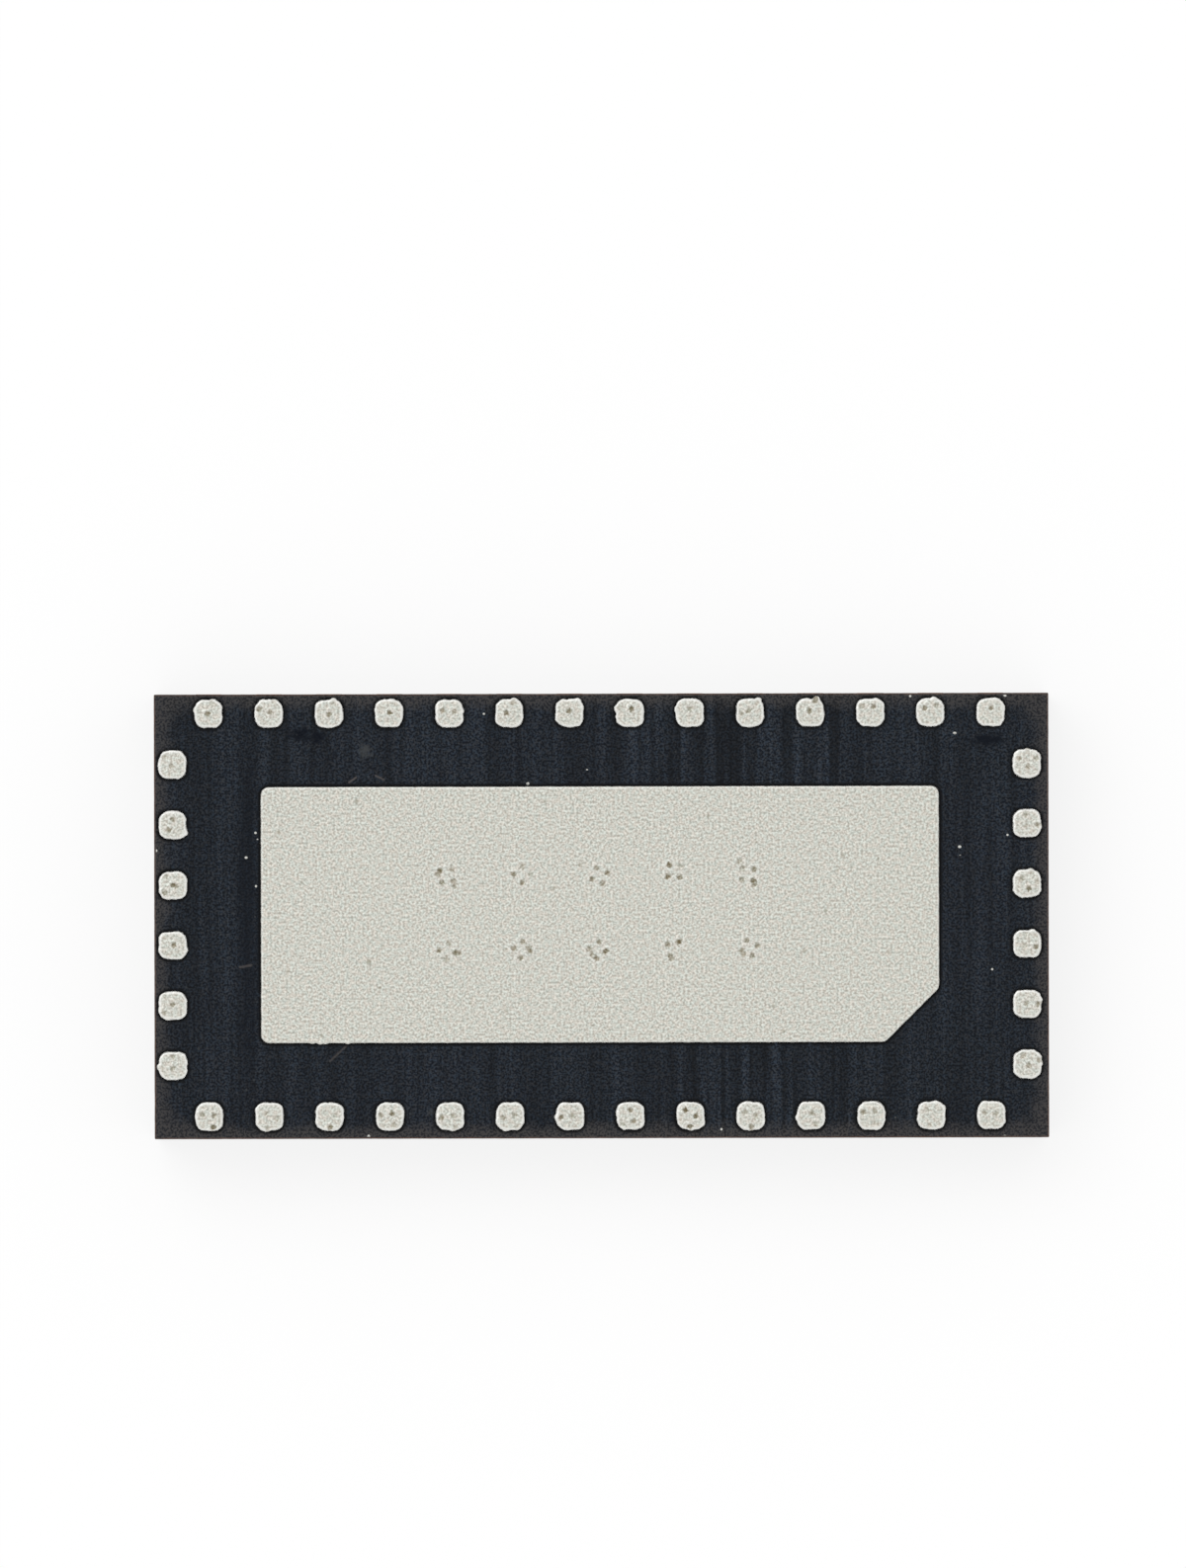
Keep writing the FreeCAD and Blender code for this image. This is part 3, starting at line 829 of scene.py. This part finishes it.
def tinMaterial(name, paintedShineShare):
    look = tinLook
    material, tree, shader, place = newMaterial(name)
    grain = placed(tree, groups["grain"], {
        "Vector": place, "Size": look["grainSize"], "Contrast": look["grainContrast"],
        "Pit Spacing": look["pitSpacing"], "Pit Size": look["pitSize"]})
    colour = blend(tree, grain["Value"], look["dark"], look["light"])
    colour = tinted(tree, place, colour, look["tintSize"], look["warm"], look["cool"])
    colour = blend(tree, calc(tree, "MULTIPLY", grain["Pits"], look["pitShare"]), colour, look["pit"])
    # painted highlight: a paler ring round the rim, stronger on the lands than on the pad
    rim = calc(tree, "MULTIPLY", attribute(tree, "shine"), paintedShineShare)
    colour = blend(tree, rim, colour, look["rim"])
    dent = attribute(tree, "dent")
    mottle = fade(tree, noise(tree, place, 0.010, 1), 0.3, 0.65, 0.52, 0.94)
    mottled = calc(tree, "MULTIPLY", dent, mottle)
    colour = blend(tree, mottled, colour, look["dent"])
    lip = calc(tree, "MULTIPLY", attribute(tree, "lip"), look["lipShare"])
    colour = blend(tree, lip, colour, look["rim"])
    # bare copper below the plated face, drawn along the saw lines at the ends
    saw = placed(tree, groups["saw"], {"Vector": place, "Line Width": look["sawLine"]})["Value"]
    copper = blend(tree, fade(tree, saw, 0.3, 0.7), look["copperDark"], look["copperLight"])
    height = addNode(tree, "ShaderNodeSeparateXYZ", {"Vector": place}).outputs[2]
    bare = fade(tree, height, levels["mould"] - 0.01, levels["mould"] - 0.02)
    colour = blend(tree, bare, colour, copper)
    tree.links.new(colour, shader.inputs["Base Color"])
    shader.inputs["Metallic"].default_value = 1.0
    rough = fade(tree, grain["Value"], 0.1, 0.9, *look["roughness"])
    rough = calc(tree, "MULTIPLY_ADD", dent, look["dentRoughness"], rough)
    tree.links.new(rough, shader.inputs["Roughness"])
    relief = calc(tree, "ADD", grain["Value"], calc(tree, "MULTIPLY", calc(tree, "MULTIPLY", saw, bare), 2.0))
    bump = addNode(tree, "ShaderNodeBump", {
        "Height": relief, "Strength": look["bump"], "Distance": look["bumpDepth"] * mm})
    tree.links.new(bump.outputs[0], shader.inputs["Normal"])
    return material


insideLooks = {
    "silicon": {"dark": (0.055, 0.058, 0.075), "light": (0.14, 0.14, 0.165), "size": 0.30,
                "metallic": 0.7, "roughness": (0.18, 0.30)},
    "silverPaste": {"dark": (0.36, 0.35, 0.33), "light": (0.56, 0.55, 0.52), "size": 0.012,
                    "metallic": 0.6, "roughness": (0.55, 0.75)},
    "goldWire": {"dark": (0.80, 0.52, 0.18), "light": (1.0, 0.76, 0.34), "size": 0.020,
                 "metallic": 1.0, "roughness": (0.22, 0.36)},
}


def insideMaterial(name):
    look = insideLooks[name]
    material, tree, shader, place = newMaterial(name)
    grain = placed(tree, groups["grain"], {
        "Vector": place, "Size": look["size"], "Contrast": 1.6, "Pit Spacing": 0.1, "Pit Size": 0.05})
    tree.links.new(blend(tree, grain["Value"], look["dark"], look["light"]), shader.inputs["Base Color"])
    shader.inputs["Metallic"].default_value = look["metallic"]
    tree.links.new(fade(tree, grain["Value"], 0.1, 0.9, *look["roughness"]), shader.inputs["Roughness"])
    bump = addNode(tree, "ShaderNodeBump", {
        "Height": grain["Value"], "Strength": 0.15, "Distance": 0.001 * mm})
    tree.links.new(bump.outputs[0], shader.inputs["Normal"])
    return material


materials = {
    "mould": mouldMaterial(),
    "padTin": tinMaterial("padTin", 0.35),
    "landTin": tinMaterial("landTin", 0.8),
    "silicon": insideMaterial("silicon"),
    "silverPaste": insideMaterial("silverPaste"),
    "goldWire": insideMaterial("goldWire"),
}
print("materials made:", len(materials))

faceTree = platedFaceTree()
landTree = platedTree("landRow", faceTree, True)
padTree = platedTree("platedPad", faceTree, False)


# Upper part of a plated piece: half-etched step, wall, round rim and a flat, granular face, with the rim
# marked for a painted highlight that fades inwards
def platedPost(shell, outline, scatter, sizes):
    rimRadius, rimFade, paintedShineWidth = sizes["rimRadius"], sizes["rimFade"], sizes["paintedShineWidth"]
    way = outwards(outline)

    def ring(distance, height, rim, top, shine):
        indices = addPlaces(shell, inset(outline, distance), height)
        for index, direction in zip(indices, way):
            shell["marks"][index] = {"outX": direction[0], "outY": direction[1], "rim": rim,
                                     "top": top, "shine": shine}
        return indices

    base = ring(0, levels["halfEtch"], 0, 0, 0)
    rings = [base, ring(0, levels["mould"] - 0.03, 0, 0, 0), ring(0, levels["mould"] - 0.012, 1, 0, 0)]
    # the round rim carries the full painted highlight
    for angle in (0, 30, 60, 90):
        back = rimRadius * (1 - math.cos(math.radians(angle)))
        down = rimRadius * (1 - math.sin(math.radians(angle)))
        rings.append(ring(back, levels["lands"] - down, 1, angle / 90, 1))
    for share in (0.35, 0.7, 1.0):
        rings.append(ring(rimRadius + rimFade * share, levels["lands"], 1 - share, 1,
                          max(0.0, 1 - rimFade * share / paintedShineWidth)))
    for lower, upper in zip(rings, rings[1:]):
        bridge(shell, lower, upper)
    fill(shell, rings[-1], (), scatter, True, top=1)
    return base


# Lead blank, pointing the way its side faces, with its land's middle at the origin
def leadBlank(side, dice):
    shape = landShape
    half = shape["size"] / 2
    middles, out = landMiddles(side)
    shell = newShell()
    outline = rounded(rectangle(-half, half, -half, half), shape["cornerRadius"], shape["step"])
    flat = half - shape["rimRadius"] - shape["rimFade"] - shape["step"] / 2
    scatter = scattered(-flat, flat, -flat, flat, shape["step"], dice)
    near = half - shape["cornerRadius"]
    beyond = np.maximum(np.abs(scatter) - near, 0)
    scatter = scatter[np.linalg.norm(beyond, axis=1) < flat - near]
    base = platedPost(shell, outline, scatter, shape)
    placedAt = onPattern(middles[0])
    toSide = halfWidth - abs(placedAt[1]) if out[0] == 0 else halfLength - abs(placedAt[0])

    def turned(points):
        # from a lead that points along X
        return [(x * out[0] - y * out[1], x * out[1] + y * out[0]) for x, y in points]

    finger = rounded(rectangle(-half - shape["fingerReach"], half, -shape["fingerWidth"] / 2,
                               shape["fingerWidth"] / 2), shape["fingerRadius"], 0.03)
    stub = rectangle(0, toSide, -shape["stubWidth"] / 2, shape["stubWidth"] / 2)
    slab(shell, [turned(finger), turned(stub)], levels["frameBack"], levels["halfEtch"], base)
    return makePiece(side + "Blank", shell, ["outX", "outY", "rim", "top", "shine"])


landRow = {
    "Dent Radius": 0.021, "Dent Depth": 0.007, "Lip Height": 0.0025, "Burr Radius": 0.030,
    "Rim Wobble": 0.010, "Wobble Size": 0.060, "Grain Height": 0.0010, "Grain Size": 0.016,
}
sides = {"front": 1, "left": 2, "rear": 3, "right": 4}


def leadsOfSide(side):
    dice = np.random.default_rng(probes["seed"] + sides[side])
    middles = landMiddles(side)[0]
    blank = leadBlank(side, dice)
    tips = markers(side + "Tips", landTips(side))
    tongues = markers(side + "Burrs", [(*atPixel(x, y), reach) for x, y, reach in burrs[side]])
    points = bpy.data.meshes.new(side + "Leads")
    points.from_pydata([(x * mm, y * mm, 0) for x, y in (onPattern(middle) for middle in middles)], [], [])
    piece = newObject(side + "Leads", points)
    applyNodes(piece, landTree, {
        **landRow, "Blank": blank, "Tips": tips, "Burrs": tongues, "Material": materials["landTin"],
        "Seed": float(sides[side])})
    for helper in (blank, tips, tongues):
        bpy.data.objects.remove(helper)
    return piece


firstLead = 1
for side in sides:
    count = len(landMiddles(side)[0])
    piece = leadsOfSide(side)
    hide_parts(*["lead_%02d" % number for number in range(firstLead, firstLead + count)])
    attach(piece, "root")
    firstLead += count
    print(side, "leads made:", len(piece.data.polygons), "faces")


heatPad = {
    "length": 4.51,
    "width": 1.705,
    "cornerRadius": 0.055,
    "bevel": 0.36,
    "rimRadius": 0.010,
    "rimFade": 0.014,
    # the pad rim's painted highlight fades out over this width
    "paintedShineWidth": 0.010,
    "flange": 0.05,
    "tieBarWidth": 0.09,
    "tieBarOverlap": 0.10,
    "step": 0.015,
    "edgeStep": 0.008,
    "tipStep": 0.005,
    "tipZone": 0.034,
    "burrs": [(316, 1055.5, 0.006), (324, 1056, 0.010), (329, 1056, 0.007), (352, 1055.5, 0.007)],
    "seed": 5,
}


def tieBar(signX, signY):
    # plan of a bar from inside the pad out between the two lands at a corner, to the sawn end
    corner = landShape["size"] / 2 - landShape["cornerRadius"]
    rowLand = Vector(((landPattern["perRow"] - 1) * landPattern["pitch"] / 2 + corner,
                      landPattern["rowSpacing"] / 2 - corner))
    columnLand = Vector((landPattern["columnSpacing"] / 2 - corner,
                         (landPattern["perColumn"] - 1) * landPattern["pitch"] / 2 + corner))
    middle = (rowLand + columnLand) / 2
    across = (columnLand - rowLand).normalized()
    out = Vector((-across.y, across.x))
    back = middle - out * ((middle.x - heatPad["length"] / 2 + heatPad["tieBarOverlap"]) / out.x)
    halfBar = heatPad["tieBarWidth"] / 2
    plan = []
    for start, sign in ((back, 1), (back, -1)):
        edge = start + across * halfBar * sign
        shiftX = landPattern["shift"][0] * signX
        reach = (halfLength - shiftX - edge.x) / out.x
        ends = [edge, edge + out * reach]
        plan += ends if sign > 0 else ends[::-1]
    plan = [(point.x * signX, point.y * signY) for point in plan]
    if signX * signY < 0:
        plan = plan[::-1]
    return [onPattern(point) for point in plan]


def padPiece():
    shape = heatPad
    dice = np.random.default_rng(shape["seed"])
    x = shape["length"] / 2
    y = shape["width"] / 2
    corners = [(-x, -y), (x - shape["bevel"], -y), (x, -y + shape["bevel"]), (x, y), (-x, y)]
    outline = rounded([onPattern(corner) for corner in corners], shape["cornerRadius"], shape["edgeStep"])
    centre = np.array(landPattern["shift"])
    flatX = x - shape["rimRadius"] - 0.03
    flatY = y - shape["rimRadius"] - 0.03
    scatter = scattered(-flatX, flatX, -flatY, flatY, shape["step"], dice) + centre
    tips = padTips()
    for tipX, tipY, force in tips:
        tip = np.array((tipX, tipY))
        scatter = scatter[np.linalg.norm(scatter - tip, axis=1) > shape["tipZone"]]
        zone = scattered(tipX - shape["tipZone"], tipX + shape["tipZone"],
                         tipY - shape["tipZone"], tipY + shape["tipZone"], shape["tipStep"], dice)
        zone = zone[np.linalg.norm(zone - tip, axis=1) < shape["tipZone"]]
        scatter = np.concatenate([scatter, zone])
    # the cut corner has no points outside it
    cut = (scatter[:, 0] - centre[0]) - (scatter[:, 1] - centre[1])
    scatter = scatter[cut < x + y - shape["bevel"] - 0.06]
    shell = newShell()
    base = platedPost(shell, outline, scatter, shape)
    flange = shape["flange"]
    rim = rectangle(-x - flange, x + flange, -y - flange, y + flange)
    kept = [rounded([onPattern(corner) for corner in rim], shape["cornerRadius"], 0.03)]
    kept += [tieBar(signX, signY) for signX in (-1, 1) for signY in (-1, 1)]
    slab(shell, kept, levels["frameBack"], levels["halfEtch"], base)
    piece = makePiece("heatPad", shell, ["outX", "outY", "rim", "top", "shine"])
    dents = markers("padTips", tips)
    tongues = markers("padBurrs", [(*atPixel(x, y), reach) for x, y, reach in shape["burrs"]])
    applyNodes(piece, padTree, {
        "Tips": dents, "Burrs": tongues, "Material": materials["padTin"], "Seed": 6.0,
        "Dent Radius": 0.022, "Dent Depth": 0.006, "Lip Height": 0.0015, "Burr Radius": 0.024,
        "Rim Wobble": 0.0025, "Wobble Size": 0.05, "Grain Height": 0.0010, "Grain Size": 0.018})
    bpy.data.objects.remove(dents)
    bpy.data.objects.remove(tongues)
    return piece, outline


pad, padOutline = padPiece()
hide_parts("heat_pad")
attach(pad, "root")
print("heat pad made:", len(pad.data.polygons), "faces")


package = {
    "step": 0.017,
    "sideStep": 0.025,
    "recess": 0.0012,           # the saw leaves the compound this far behind the copper
    "edgeRadius": 0.004,
    "pocketInset": 0.008,
    "moat": (0.0, 0.008, 0.016, 0.026),
    # how much painted shade each moat ring carries
    "moatPaintedShade": (1.0, 1.0, 0.55, 0.0),
    "moatDepth": (0.004, 0.0035, 0.0015, 0.0),
    "landRingStep": 0.010,
    "speckRadius": 0.006,
    "speckHeight": 0.003,
    "dotRadius": 0.15,
    "dotDepth": 0.015,
    "dotInset": 0.42,
    "seed": 3,
    # pale specks on the compound: pixel and size as a share of the radius above
    "specks": {
        "byPadUpper": (258.5, 843, 1.1), "byPadUpperLow": (260.5, 849.5, 0.8), "byPadMiddle": (249, 868, 1.1),
        "byPadMiddleLow": (259, 897, 1.1), "byPadLower": (258, 928, 0.4),
        "rightOfPad": (971, 857, 1.3), "rightOfPadLow": (971.5, 865.5, 0.6),
        "rightByLand": (1019.5, 845, 1.0), "upperRight": (966, 742, 1.2),
        "lowerRight": (1004, 981, 1.0), "lowerEdge": (730, 1143, 1.0),
        "abovePad": (594, 779, 0.8), "betweenLands": (489.6, 722.5, 1.0), "abovePadLeft": (534, 793, 1.1),
        "atLowerEdge": (373, 1150, 1.3), "atLowerRight": (1016.6, 1150, 1.1), "lowerMiddle": (906, 1131, 0.5),
        "atUpperEdge": (921, 704.5, 1.1), "atUpperRight": (1017, 704, 1.3), "atLeftEdge": (158, 861, 1.2),
    },
}


def packagePiece():
    shape = package
    dice = np.random.default_rng(shape["seed"])
    shell = newShell()
    x = halfLength - shape["recess"]
    y = halfWidth - shape["recess"]
    edge = rounded(rectangle(-x, x, -y, y), shape["edgeRadius"] * 2, shape["sideStep"])
    way = outwards(edge)

    def sideRing(distance, height, side, line):
        indices = addPlaces(shell, inset(edge, distance), height)
        for index, direction in zip(indices, way):
            shell["marks"][index] = {"outX": direction[0], "outY": direction[1], "rim": 1,
                                     "side": side, "edgeLine": line}
        return indices

    radius = shape["edgeRadius"]
    heights = np.linspace(radius, levels["mould"] - radius, 26)
    rings = [sideRing(radius, 0, 1, 0)] + [sideRing(0, height, 1, 0) for height in heights]
    rings.append(sideRing(radius * 0.3, levels["mould"] - radius * 0.3, 0.5, 1))
    rings.append(sideRing(radius, levels["mould"], 0, 1))
    rings.append(sideRing(radius + 0.008, levels["mould"], 0, 0))
    for lower, upper in zip(rings, rings[1:]):
        bridge(shell, lower, upper)

    # marked face, with the first-lead dot
    turns = np.linspace(0, 2 * math.pi, 64, endpoint=False)
    circle = np.stack([np.cos(turns), np.sin(turns)], axis=1)
    dotMiddle = np.array([halfLength - shape["dotInset"], -halfWidth + shape["dotInset"]])
    dotEdge = addPlaces(shell, dotMiddle + circle * shape["dotRadius"], 0)
    dotRoof = addPlaces(shell, dotMiddle + circle * (shape["dotRadius"] - 0.004), shape["dotDepth"], dot=1)
    bottomScatter = scattered(-x + 0.03, x - 0.03, -y + 0.03, y - 0.03, 0.045, dice)
    away = np.linalg.norm(bottomScatter - dotMiddle, axis=1)
    fill(shell, rings[0], [dotEdge], bottomScatter[away > shape["dotRadius"] + 0.02], False)
    bridge(shell, dotEdge[::-1], dotRoof[::-1])
    fill(shell, dotRoof, (), bottomScatter[away < shape["dotRadius"] - 0.02], False, dot=1)

    # soldered face, with a pocket and a sunken moat round every land and the pad, and marks for the painted
    # shade that darkens the compound next to the metal
    half = landShape["size"] / 2
    landOutline = rounded(rectangle(-half, half, -half, half), landShape["cornerRadius"],
                          shape["landRingStep"])
    metals = [landOutline + np.array(onPattern(middle)) for side in sides for middle in landMiddles(side)[0]]
    scatter = scattered(-x + 0.02, x - 0.02, -y + 0.02, y - 0.02, shape["step"], dice)
    clear = shape["moat"][-1] + shape["step"] / 2
    for metal in metals:
        away = scatter - metal.mean(axis=0)
        beyond = np.maximum(np.abs(away) - (half - landShape["cornerRadius"]), 0)
        scatter = scatter[np.linalg.norm(beyond, axis=1) > landShape["cornerRadius"] + clear]
    away = scatter - np.array(landPattern["shift"])
    padX = heatPad["length"] / 2 + clear
    padY = heatPad["width"] / 2 + clear
    onPad = (np.abs(away[:, 0]) < padX) & (np.abs(away[:, 1]) < padY)
    onPad &= away[:, 0] - away[:, 1] < padX + padY - heatPad["bevel"] - 0.6 * clear
    scatter = scatter[~onPad]
    for pixelX, pixelY, share in shape["specks"].values():
        middle = np.array(atPixel(pixelX, pixelY))
        away = np.linalg.norm(scatter - middle, axis=1)
        scatter = scatter[away > shape["speckRadius"] * share * 2.2]
    moatPoints = []
    moatMarks = []
    pockets = []
    metals.append(padOutline[::2])
    for metal in metals:
        # the pocket's top ring takes the full painted shade
        wall = addPlaces(shell, inset(metal, shape["pocketInset"]), levels["mould"], halo=1)
        floorRing = addPlaces(shell, inset(metal, shape["pocketInset"]), levels["halfEtch"])
        bridge(shell, floorRing[::-1], wall[::-1])
        fill(shell, floorRing, (), (), True)
        pockets.append(wall)
        for distance, halo, depth in zip(shape["moat"], shape["moatPaintedShade"], shape["moatDepth"]):
            around = inset(metal, -distance)
            moatPoints.append(around)
            moatMarks += [(halo, depth)] * len(around)
    speckPoints = []
    speckMarks = []
    circle = np.stack([np.cos(turns[::8]), np.sin(turns[::8])], axis=1)
    for pixelX, pixelY, share in shape["specks"].values():
        middle = np.array(atPixel(pixelX, pixelY))
        squash = np.array([dice.uniform(0.8, 1.25), dice.uniform(0.7, 1.1)])
        for reach, mark in ((0.0, 1.0), (1.0, 1.0), (1.7, 0.0)):
            around = middle + circle * squash * shape["speckRadius"] * share * reach
            around = around[:1] if reach == 0 else around
            speckPoints.append(around)
            speckMarks += [mark * min(1.0, share ** 2) * (1.0 if reach else 1.4)] * len(around)
    extra = np.concatenate(moatPoints + speckPoints)
    allScatter = np.concatenate([extra, scatter])
    marks = [{"top": 1, "halo": halo, "sunk": depth} for halo, depth in moatMarks]
    marks += [{"top": 1, "speck": min(1.0, mark), "sunk": -shape["speckHeight"] * mark}
              for mark in speckMarks]
    inside = (np.abs(allScatter[:, 0]) < x - radius - 0.009) & (np.abs(allScatter[:, 1]) < y - radius - 0.009)
    lookup = {tuple(np.round(point, 6)): mark for point, mark in zip(extra, marks)}
    added = fill(shell, rings[-1], pockets, allScatter[inside], True, top=1)
    for index in added:
        place = shell["places"][index]
        mark = lookup.get((round(place[0], 6), round(place[1], 6)))
        if mark:
            shell["marks"][index] = mark
            shell["places"][index] = (place[0], place[1], place[2] - mark["sunk"])
    piece = makePiece("package", shell, ["outX", "outY", "rim", "top", "side", "edgeLine", "halo", "speck",
                                          "dot"])
    applyNodes(piece, compoundTree(), {"Material": materials["mould"], **surfaceSizes})
    return piece


surfaceSizes = {"Wave Height": 0.0008, "Wave Size": 0.05, "Edge Chips": 0.0028, "Chip Size": 0.04}


def compoundTree():
    # slight waves of the moulded faces and small chips along the sawn edges
    tree, given, result = newGroup("mouldedBlock", "GeometryNodeTree", [
        ("Geometry", "NodeSocketGeometry", None), ("Material", "NodeSocketMaterial", None),
    ] + [(size, "NodeSocketFloat", 0.0) for size in surfaceSizes], [("Geometry", "NodeSocketGeometry")])
    given = given.outputs
    place = vectorCalc(tree, "SCALE", addNode(tree, "GeometryNodeInputPosition").outputs[0], 1 / mm)

    wave = calc(tree, "SUBTRACT", noise(tree, place, given["Wave Size"], 2), 0.5)
    wave = calc(tree, "MULTIPLY", calc(tree, "MULTIPLY", wave, given["Wave Height"]), mark(tree, "top"))
    chip = calc(tree, "SUBTRACT", noise(tree, place, given["Chip Size"], 3), 0.62)
    chip = calc(tree, "MULTIPLY", calc(tree, "MULTIPLY", chip, given["Edge Chips"]), mark(tree, "rim"))
    shape = moved(tree, given["Geometry"], chip, wave)
    return finishTree(tree, shape, given["Material"], result)


mould = packagePiece()
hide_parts("mold_body")
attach(mould, "root")
print("package made:", len(mould.data.polygons), "faces")


# Sealed pieces keep their meshes
sealed = {
    "die": "silicon", "die_attach": "silverPaste", "ground_wires": "goldWire",
    "front_bond_wires": "goldWire", "left_bond_wires": "goldWire",
    "rear_bond_wires": "goldWire", "right_bond_wires": "goldWire",
}
for nodeName, look in sealed.items():
    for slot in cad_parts[nodeName].material_slots:
        slot.material = materials[look]


studio = {
    "cameraHeight": 150.0,      # above the lands
    "sensor": 36.0,
    "floorSize": 600.0,
    "floorGap": 0.002,          # keeps the floor from sharing a plane with the marked face
    "floorColour": (0.98, 0.98, 0.98),
    "floorGlow": 0.8,           # share of plain white seen in the floor
    "skyStrength": 0.85,
    "keyStrength": 0.70,
    "keyAngle": 40.0,
    "keyHeight": 54.0,
    "keyHeading": 128.0,        # from +X, anticlockwise
}


def makeCamera():
    settings = bpy.data.cameras.new("camera")
    camera = newObject("camera", settings)
    settings.sensor_width = studio["sensor"]
    frameHeight = photo["heightPixels"] / photo["pixelsPerMillimetre"]
    settings.lens = studio["sensor"] * studio["cameraHeight"] / frameHeight
    settings.clip_start = 0.01
    settings.clip_end = 2.0
    x, y = atPixel(photo["widthPixels"] / 2, photo["heightPixels"] / 2)
    camera.location = Vector((x, y, levels["lands"] + studio["cameraHeight"])) * mm
    camera.rotation_euler = (0, 0, -math.radians(photo["turnDegrees"]))
    bpy.context.scene.camera = camera


def seesBackground(tree):
    # 1 for the rays that see plain white: the camera's, and those mirrored or let through
    path = addNode(tree, "ShaderNodeLightPath").outputs
    mirrored = calc(tree, "MAXIMUM", path["Is Glossy Ray"], path["Is Transmission Ray"])
    return calc(tree, "MAXIMUM", path["Is Camera Ray"], mirrored)


def makeFloor():
    half = studio["floorSize"] / 2 * mm
    mesh = bpy.data.meshes.new("floor")
    low = -studio["floorGap"] * mm
    mesh.from_pydata([(x, y, low) for x, y in rectangle(-half, half, -half, half)], [], [(0, 1, 2, 3)])
    floor = newObject("floor", mesh)
    material = bpy.data.materials.new("floorWhite")
    material.use_nodes = True
    tree = material.node_tree
    tree.nodes.clear()
    plain = addNode(tree, "ShaderNodeBsdfDiffuse", {"Color": (*studio["floorColour"], 1)})
    white = addNode(tree, "ShaderNodeEmission", {"Color": (1, 1, 1, 1), "Strength": 1.0})
    share = calc(tree, "MULTIPLY", seesBackground(tree), studio["floorGlow"])
    mixed = addNode(tree, "ShaderNodeMixShader", {0: share, 1: plain.outputs[0], 2: white.outputs[0]})
    addNode(tree, "ShaderNodeOutputMaterial", {"Surface": mixed.outputs[0]})
    mesh.materials.append(material)


def makeLight():
    world = bpy.data.worlds.new("studio")
    world.use_nodes = True
    tree = world.node_tree
    tree.nodes.clear()
    strength = fade(tree, seesBackground(tree), 0.0, 1.0, studio["skyStrength"], 1.0)
    sky = addNode(tree, "ShaderNodeBackground", {"Color": (1, 1, 1, 1), "Strength": strength})
    addNode(tree, "ShaderNodeOutputWorld", {"Surface": sky.outputs[0]})
    bpy.context.scene.world = world
    lamp = bpy.data.lights.new("key", "SUN")
    lamp.energy = studio["keyStrength"]
    lamp.angle = math.radians(studio["keyAngle"])
    key = newObject("key", lamp)
    heading = math.radians(studio["keyHeading"])
    height = math.radians(studio["keyHeight"])
    towards = Vector((math.cos(heading) * math.cos(height), math.sin(heading) * math.cos(height),
                      math.sin(height)))
    key.rotation_euler = towards.to_track_quat("Z", "Y").to_euler()


makeCamera()
makeFloor()
makeLight()
bpy.context.scene.view_settings.view_transform = "Standard"
print("studio made")
